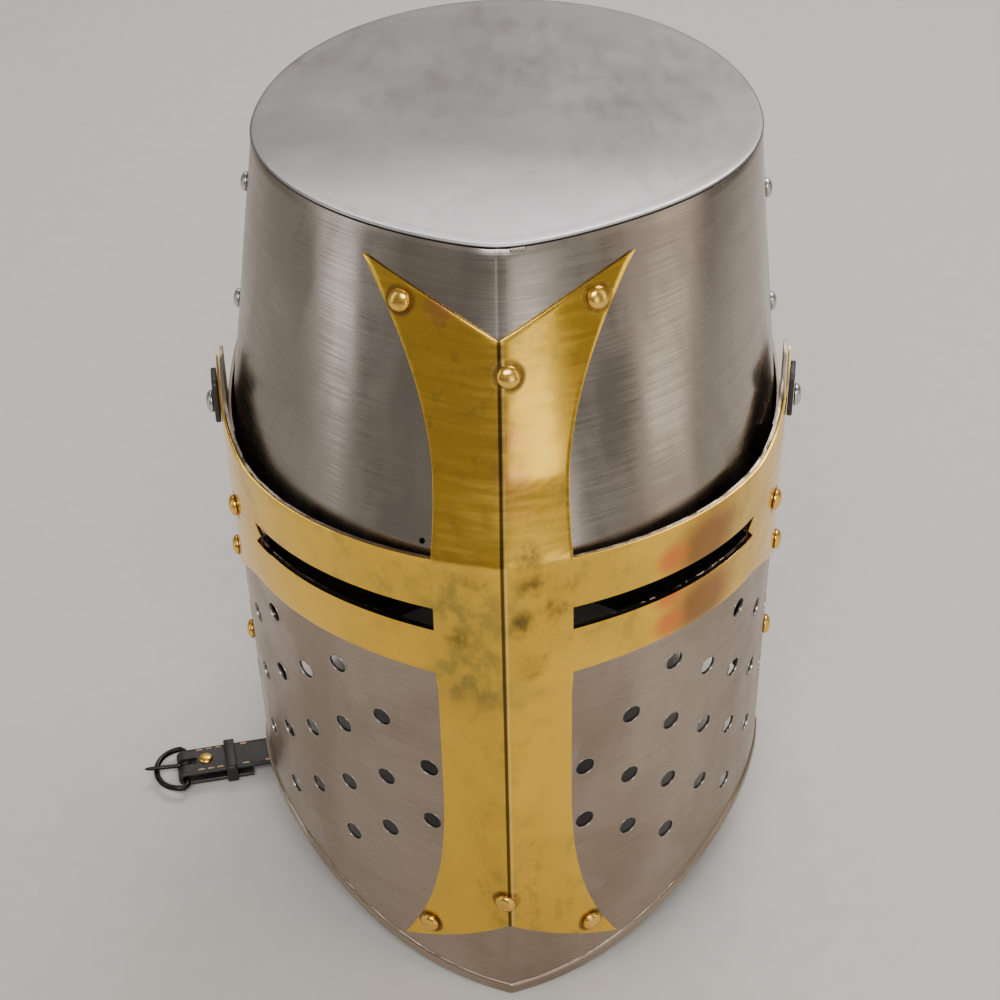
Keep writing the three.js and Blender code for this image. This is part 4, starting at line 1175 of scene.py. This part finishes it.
head_point, head_out = temple_axis(-1)
head_point = head_point - head_out * STRAP_INSET
head_across = np.cross(UP, head_out)
if head_across @ TAIL_ACROSS < 0:
    head_across = -head_across
hanging = smooth_route([
    [head_point[0], head_point[1], TEMPLE_Z + 7], [head_point[0], head_point[1], TEMPLE_Z - 9],
    [-96.6, -33, 190], [-98.2, -18, 110], [-98.6, -8, 55],
    [-98.2, -4, 28], [-99.6, -3, 14], [-104, -3.2, 8.2],
    TAIL_HINGE - TAIL_ALONG * 6, TAIL_HINGE])
upper = [TAIL_HINGE + TAIL_ALONG * d for d in np.linspace(2, TAIL_LENGTH, 16)]
fold_radius = FOLD_INNER + FOLD_SKIN / 2
turn_back = [tail_point(TAIL_LENGTH + fold_radius * math.sin(a), 0, BAR_Z + fold_radius * math.cos(a))
             for a in np.linspace(0, math.pi, 15)[1:]]
under = [tail_point(d, 0, BAR_Z - fold_radius) for d in np.linspace(TAIL_LENGTH - 2, 2, 14)]
route = np.concatenate([hanging, upper, turn_back, under])
turning = np.clip((np.arange(len(route))) / (5 * 7), 0, 1)[:, None]
strap_across = head_across * (1 - turning) + TAIL_ACROSS * turning
buckle_strap = band("buckle_strap", route, strap_across, STRAP_WIDTH, FOLD_SKIN, black_leather)
print("route of the buckle strap has", len(route), "points")


# %% Cut the prong's slit
def box_cutter(start, end, half_width, low, high):
    corners = [tail_point(d, a, z) for z in (low, high) for d, a in
               ((start, -half_width), (end, -half_width), (end, half_width), (start, half_width))]
    faces = [(0, 1, 2, 3), (7, 6, 5, 4), (0, 4, 5, 1), (1, 5, 6, 2), (2, 6, 7, 3), (3, 7, 4, 0)]
    cutter = new_piece("slit_cutter", np.array(corners), faces, [black_leather])
    face_outward(cutter.data)
    return cutter


slit = box_cutter(TAIL_LENGTH - 5.4, TAIL_LENGTH + 6, 1.9, -1.0, 12.0)
modifier = buckle_strap.modifiers.new("prong_slit", "BOOLEAN")
modifier.solver = "EXACT"
modifier.object = slit
apply_modifiers(buckle_strap)
bpy.data.objects.remove(slit)
buckle_strap.data.set_sharp_from_angle(angle=math.radians(60))
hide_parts("chin_strap_left", "chin_strap_tail")
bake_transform(buckle_strap)

# %% [markdown]
# ### Stitches, keeper and strap rivet
# Two rows of tan stitches run along the strap's edges. Each stitch is a short thread that dips into the
# leather at both ends, and Geometry Nodes copy one along the marked places. The keeper is a closed loop of
# thinner leather round both layers.


# %% Stitches
def stitch_shape(length=3.4, thick=0.42, sides=8, rows=7):
    """A thread that lies along X and dips at both ends."""
    points, faces = [], []
    for j in range(rows):
        t = -1 + 2 * j / (rows - 1)
        size = thick * math.sqrt(max(0.0, 1 - (abs(t) ** 3) * 0.8))
        for i in range(sides):
            angle = 2 * math.pi * i / sides
            height = size * 0.75 * math.sin(angle) - 0.32 * t * t + 0.12
            points.append((t * length / 2, size * math.cos(angle), height))
    for j in range(rows - 1):
        for i in range(sides):
            k = (i + 1) % sides
            faces.append((j * sides + i, (j + 1) * sides + i, (j + 1) * sides + k, j * sides + k))
    faces += [tuple(range(sides)), tuple(reversed(range((rows - 1) * sides, rows * sides)))]
    return points, faces


def stitch_row(name, places):
    """Places are (point, along, out). The marks keep both ways, so that each thread lies along its row."""
    points, faces = stitch_shape()
    shape = new_piece(name + "_shape", points, faces, [thread])
    marks = marked_points(name, [(point, out) for point, _, out in places])
    along = marks.data.attributes.new("along", "FLOAT_VECTOR", "POINT")
    along.data.foreach_set("vector", np.array([way for _, way, _ in places], np.float32).ravel())
    tree = Tree(name + "_tree")
    length = tree.ask("Stitch Size", "NodeSocketFloat", 1.0)
    shape_in = tree.ask("Thread", "NodeSocketObject", shape)
    placed = tree.node("GeometryNodeObjectInfo", Object=shape_in)
    way = tree.node("GeometryNodeInputNamedAttribute")
    way.data_type = "FLOAT_VECTOR"
    way.inputs["Name"].default_value = "along"
    second = tree.node("FunctionNodeAlignRotationToVector")
    second.axis = "X"
    second.pivot_axis = "Z"
    tree.group.links.new(tree.facing(), second.inputs["Rotation"])
    tree.group.links.new(way.outputs["Attribute"], second.inputs["Vector"])
    copies = tree.node("GeometryNodeInstanceOnPoints", Points=tree.start.outputs["Geometry"],
                       Instance=placed.outputs["Geometry"], Rotation=second.outputs["Rotation"])
    tree.group.links.new(length, copies.inputs["Scale"])
    tree.finish(copies.outputs["Instances"], thread)
    tree.run(marks)
    bpy.data.objects.remove(shape)
    return marks


tail_top = BAR_Z + FOLD_INNER + FOLD_SKIN
tail_stitches = [(tail_point(d, a, tail_top), TAIL_ALONG, UP)
                 for a in (-6.3, 6.3) for d in (5.0, 16.5, 20.7, 24.9)]
settle(stitch_row("tail_stitches", tail_stitches), TAIL)


def rows_on_route(first, last, step, offset):
    """Stitch places on the hanging part of the buckle strap, in pairs along both edges."""
    lengths = np.concatenate([[0], np.cumsum(np.linalg.norm(np.diff(route, axis=0), axis=1))])
    along = np.gradient(route, axis=0)
    along /= np.linalg.norm(along, axis=1, keepdims=True)
    across = strap_across - along * np.sum(strap_across * along, 1, keepdims=True)
    across /= np.linalg.norm(across, axis=1, keepdims=True)
    out = -np.cross(along, across)
    places = []
    for at in np.arange(first, last, step):
        point, way, side, facing = (np.array([np.interp(at, lengths, v[:, c]) for c in range(3)])
                                    for v in (route, along, across, out))
        for sign in (-1, 1):
            for face in (-1, 1):
                place = point + side * offset * sign + facing * face * FOLD_SKIN / 2
                places.append((place, way, facing * face))
    return places


hinge_length = float(np.linalg.norm(np.diff(hanging, axis=0), axis=1).sum())
helm_stitches = stitch_row("buckle_strap_stitches", rows_on_route(26.0, hinge_length - 3.0, 4.2, 6.3))
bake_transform(helm_stitches)


# %% Keeper
def make_keeper():
    half, skin = STRAP_WIDTH / 2 + GAP, 1.4
    low, high = tail_top - 2 * (FOLD_INNER + FOLD_SKIN) - GAP, tail_top + GAP
    inner = rounded_box(-half, half, low, high, 1.0, 6)
    outer = rounded_box(-half - skin, half + skin, max(low - 0.75, 0.15), high + skin, 1.8, 6)
    count = len(inner)
    points, faces = [], []
    for distance in (9.1, 9.5, 13.5, 13.9):
        edge = distance in (9.1, 13.9)
        for (a, z), (ia, iz) in zip(outer, inner):
            share = 0.22 if edge else 0.0
            points.append(tail_point(distance, a + (ia - a) * share, z + (iz - z) * share))
        points += [tail_point(distance, a, z) for a, z in inner]
    ring = 2 * count
    for j in range(3):
        for i in range(count):
            k = (i + 1) % count
            faces.append((j * ring + i, j * ring + k, (j + 1) * ring + k, (j + 1) * ring + i))
            faces.append((j * ring + count + i, (j + 1) * ring + count + i,
                          (j + 1) * ring + count + k, j * ring + count + k))
    for j in (0, 3):
        for i in range(count):
            k = (i + 1) % count
            face = (j * ring + i, j * ring + count + i, j * ring + count + k, j * ring + k)
            faces.append(face if j == 0 else tuple(reversed(face)))
    piece = new_piece("strap_keeper_loop", np.array(points), faces, [black_leather])
    face_outward(piece.data)
    piece.data.set_sharp_from_angle(angle=math.radians(50))
    return piece


settle(make_keeper(), TAIL, ["strap_keeper"])
strap_rivets = [(tail_point(22.5, 0, tail_top), UP, -0.3, 6.6)]
rivet_set("strap_rivet_head", strap_rivets, 3.15, 1.7, rivet_brass, TAIL, ["strap_rivet"])

# %% [markdown]
# ## The buckle
# The buckle is blacked wire bent to a D, with a prong that turns on the straight side. Both are swept
# tubes. The prong's eye is a ring round the bar, and its pin tapers to rest across the frame.

# %% Make the buckle
buckle_path = [tail_point(TAIL_LENGTH, a, BAR_Z) for a in np.linspace(-11, 11, 16)]
for angle in np.linspace(0, math.pi, 42)[1:-1]:
    out = 13.0 * math.sin(angle) ** 0.8
    buckle_path.append(tail_point(TAIL_LENGTH + out, 12.5 * math.cos(angle), BAR_Z))
buckle = ring_of_wire("buckle_wire", buckle_path, WIRE, 14, UP, blacked_steel)
settle(buckle, FRAME_BODY, ["buckle_frame"])


def make_prong():
    eye = WIRE + 0.4 + 1.0
    ring = [tail_point(TAIL_LENGTH + eye * math.cos(a), 0, BAR_Z + eye * math.sin(a))
            for a in np.linspace(0, 2 * math.pi, 36, endpoint=False)]
    loop = ring_of_wire("buckle_prong_pin", ring, 1.0, 12, TAIL_ACROSS, blacked_steel)
    start = tail_point(TAIL_LENGTH + eye * 0.8, 0, BAR_Z + eye * 0.7)
    tip = tail_point(TAIL_LENGTH + 18.0, 0, BAR_Z + eye + 0.3)
    way = (tip - start) / np.linalg.norm(tip - start)
    over = np.cross(way, TAIL_ACROSS)
    sides, points, faces = 12, [], []
    stations = [(0.0, 0.98), (0.5, 1.0), (0.8, 0.92), (0.93, 0.72), (0.98, 0.5), (1.0, 0.25)]
    for share, radius in stations:
        centre = start + (tip - start) * share
        points += [centre + (TAIL_ACROSS * math.cos(a) + over * math.sin(a)) * radius
                   for a in np.linspace(0, 2 * math.pi, sides, endpoint=False)]
    for j in range(len(stations) - 1):
        for i in range(sides):
            k = (i + 1) % sides
            faces.append((j * sides + i, j * sides + k, (j + 1) * sides + k, (j + 1) * sides + i))
    last = (len(stations) - 1) * sides
    faces += [tuple(reversed(range(sides))), tuple(range(last, last + sides))]
    pin = new_piece("pin", np.array(points), faces, [blacked_steel])
    face_outward(loop.data, pin.data)
    bpy.data.objects.remove(pin)
    loop.data.set_sharp_from_angle(angle=math.radians(60))
    return loop


settle(make_prong(), PRONG_BODY, ["buckle_prong"])

# %% [markdown]
# ## The plain strap
# The right strap hangs from its own temple rivet inside the helm, with a row of holes for the prong and a
# pointed end. It is one flat band that hangs straight down.

# %% Make the plain strap
STRAP_BEND, STRAP_END = 213.0, 24.0
right_point, right_out = temple_axis(1)
right_point = right_point - right_out * STRAP_INSET
right_across = np.cross(UP, right_out)


def plain_strap():
    half, top = STRAP_WIDTH / 2, TEMPLE_Z + 7
    point = STRAP_END + np.array([13, 10, 7, 4.5, 2.4, 0.9, 0.1])
    heights = np.concatenate([np.linspace(top, STRAP_END + 16, 64), point])
    widths = np.interp(heights, [STRAP_END, STRAP_END + 1.2, STRAP_END + 5, STRAP_END + 10, STRAP_END + 15],
                       [0.12, 0.42, 0.72, 0.92, 1.0])
    grids = []
    for lift in (LEATHER / 2 - 0.05, -LEATHER / 2 + 0.05):
        across = np.linspace(-half, half, 7)[None, :] * widths[::-1, None]
        grid = right_point[None, None, :] + right_across * across[..., None] + right_out * lift
        grid[..., 2] = heights[::-1, None]
        grids.append(grid)
    strap = shell("plain_strap", *grids, black_leather)
    holes = []
    for i in range(5):
        place = np.array([right_point[0], right_point[1], STRAP_END + 26 + i * 20])
        points = []
        spin = Vector(right_out).to_track_quat("Z", "Y")
        for z in (-6, 6):
            points += [place + np.array(spin @ Vector((1.8 * math.cos(a), 1.8 * math.sin(a), z)))
                       for a in np.linspace(0, 2 * math.pi, 20, endpoint=False)]
        faces = [tuple(reversed(range(20))), tuple(range(20, 40))]
        faces += [(k, (k + 1) % 20, 20 + (k + 1) % 20, 20 + k) for k in range(20)]
        hole = new_piece(f"hole_{i}", np.array(points), faces, [black_leather])
        modifier = strap.modifiers.new("prong_hole", "BOOLEAN")
        modifier.solver = "EXACT"
        modifier.object = hole
        holes.append(hole)
    apply_modifiers(strap)
    for hole in holes:
        bpy.data.objects.remove(hole)
    return soften(strap, 0.4, 2, 50.0)


right_strap = plain_strap()
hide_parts("chin_strap_right_top", "chin_strap_right")
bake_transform(right_strap)

right_stitches = []
for z in np.arange(STRAP_END + 20, STRAP_BEND - 8, 4.2):
    for a in (-6.3, 6.3):
        for face in (-1, 1):
            place = np.array([right_point[0], right_point[1], z]) + right_across * a
            right_stitches.append((place + right_out * face * (LEATHER / 2 - 0.05), UP, right_out * face))
settle(stitch_row("plain_strap_stitches", right_stitches), RIGHT)

# %% [markdown]
# ## Floor, light and camera
# The helm stands on a plain pale floor that curves up far behind it. Large soft lights stand round it as
# in a small studio. Curved metal shows the lights themselves, so tall narrow ones at the sides draw the
# upright bands on the skull, and a dim room keeps the metal between them dark.


# %% Floor
def make_floor():
    depth = [(-2.4, 0.0), (1.1, 0.0)]
    depth += [(1.1 + 0.8 * math.sin(a), 0.8 - 0.8 * math.cos(a)) for a in np.radians(np.arange(10, 91, 10))]
    depth.append((1.9, 3.0))
    points = [(x, y, z) for y, z in depth for x in (-4.0, 4.0)]
    faces = [(2 * i, 2 * i + 1, 2 * i + 3, 2 * i + 2) for i in range(len(depth) - 1)]
    floor = new_piece("studio_floor", np.array(points) / MM, faces, [])
    n = Nodes("pale_floor")
    speck = n.noise(n.scaled((90.0, 90.0, 90.0)), detail=3.0)
    tone = n.mix(n.ramp(speck, 0.3, 0.7, 0.0, 0.5), (0.62, 0.60, 0.57), (0.58, 0.56, 0.53))
    floor.data.materials.append(n.finish(tone, 0.75, None, 0.0))


make_floor()


# %% Lights
def soft_light(name, place, aim, width, height, power, colour=(1.0, 1.0, 1.0)):
    data = bpy.data.lights.new(name, "AREA")
    data.shape = "RECTANGLE"
    data.size, data.size_y = width, height
    data.energy = power
    data.color = colour
    light = bpy.data.objects.new(name, data)
    light.location = place
    light.rotation_euler = (Vector(aim) - Vector(place)).to_track_quat("-Z", "Y").to_euler()
    bpy.context.scene.collection.objects.link(light)


world = bpy.data.worlds.new("dim_room")
world.use_nodes = True
world.node_tree.nodes["Background"].inputs["Color"].default_value = (0.34, 0.31, 0.28, 1.0)
world.node_tree.nodes["Background"].inputs["Strength"].default_value = 0.75
bpy.context.scene.world = world
soft_light("overhead", (0.55, 0.75, 1.5), (0, 0, 0.2), 1.0, 0.9, 14, (1.0, 0.98, 0.96))
soft_light("behind", (0.0, 1.1, 1.5), (0, 0, 0.3), 1.6, 0.6, 8)
soft_light("left_strip", (-1.3, -0.35, 0.75), (0, 0, 0.2), 0.4, 1.3, 2.2)
soft_light("right_strip", (1.25, -0.45, 0.7), (0, 0, 0.2), 0.45, 1.3, 2.8, (1.0, 0.9, 0.76))
soft_light("front_right", (0.85, -1.75, 0.5), (0, 0, 0.25), 0.75, 0.8, 3.2, (1.0, 0.97, 0.92))
soft_light("front_fill", (0.0, -1.6, 1.9), (0, -0.2, 0.0), 1.4, 0.8, 34)


# %% Camera
def aim_camera():
    yaw, pitch, roll = -0.0198, 0.6537, -0.0230
    ahead = Vector((math.sin(yaw) * math.cos(pitch), math.cos(yaw) * math.cos(pitch), -math.sin(pitch)))
    level = Vector((math.cos(yaw), -math.sin(yaw), 0.0))
    above = level.cross(ahead)
    right = level * math.cos(roll) + above * math.sin(roll)
    top = above * math.cos(roll) - level * math.sin(roll)
    data = bpy.data.cameras.new("camera")
    data.lens, data.sensor_width, data.clip_start, data.clip_end = 72.0, 36.0, 0.02, 50.0
    camera = bpy.data.objects.new("camera", data)
    camera.matrix_world = Matrix((
        (right.x, top.x, -ahead.x, 0.010107),
        (right.y, top.y, -ahead.y, -0.653184),
        (right.z, top.z, -ahead.z, 0.647231),
        (0.0, 0.0, 0.0, 1.0)))
    bpy.context.scene.collection.objects.link(camera)
    bpy.context.scene.camera = camera


aim_camera()
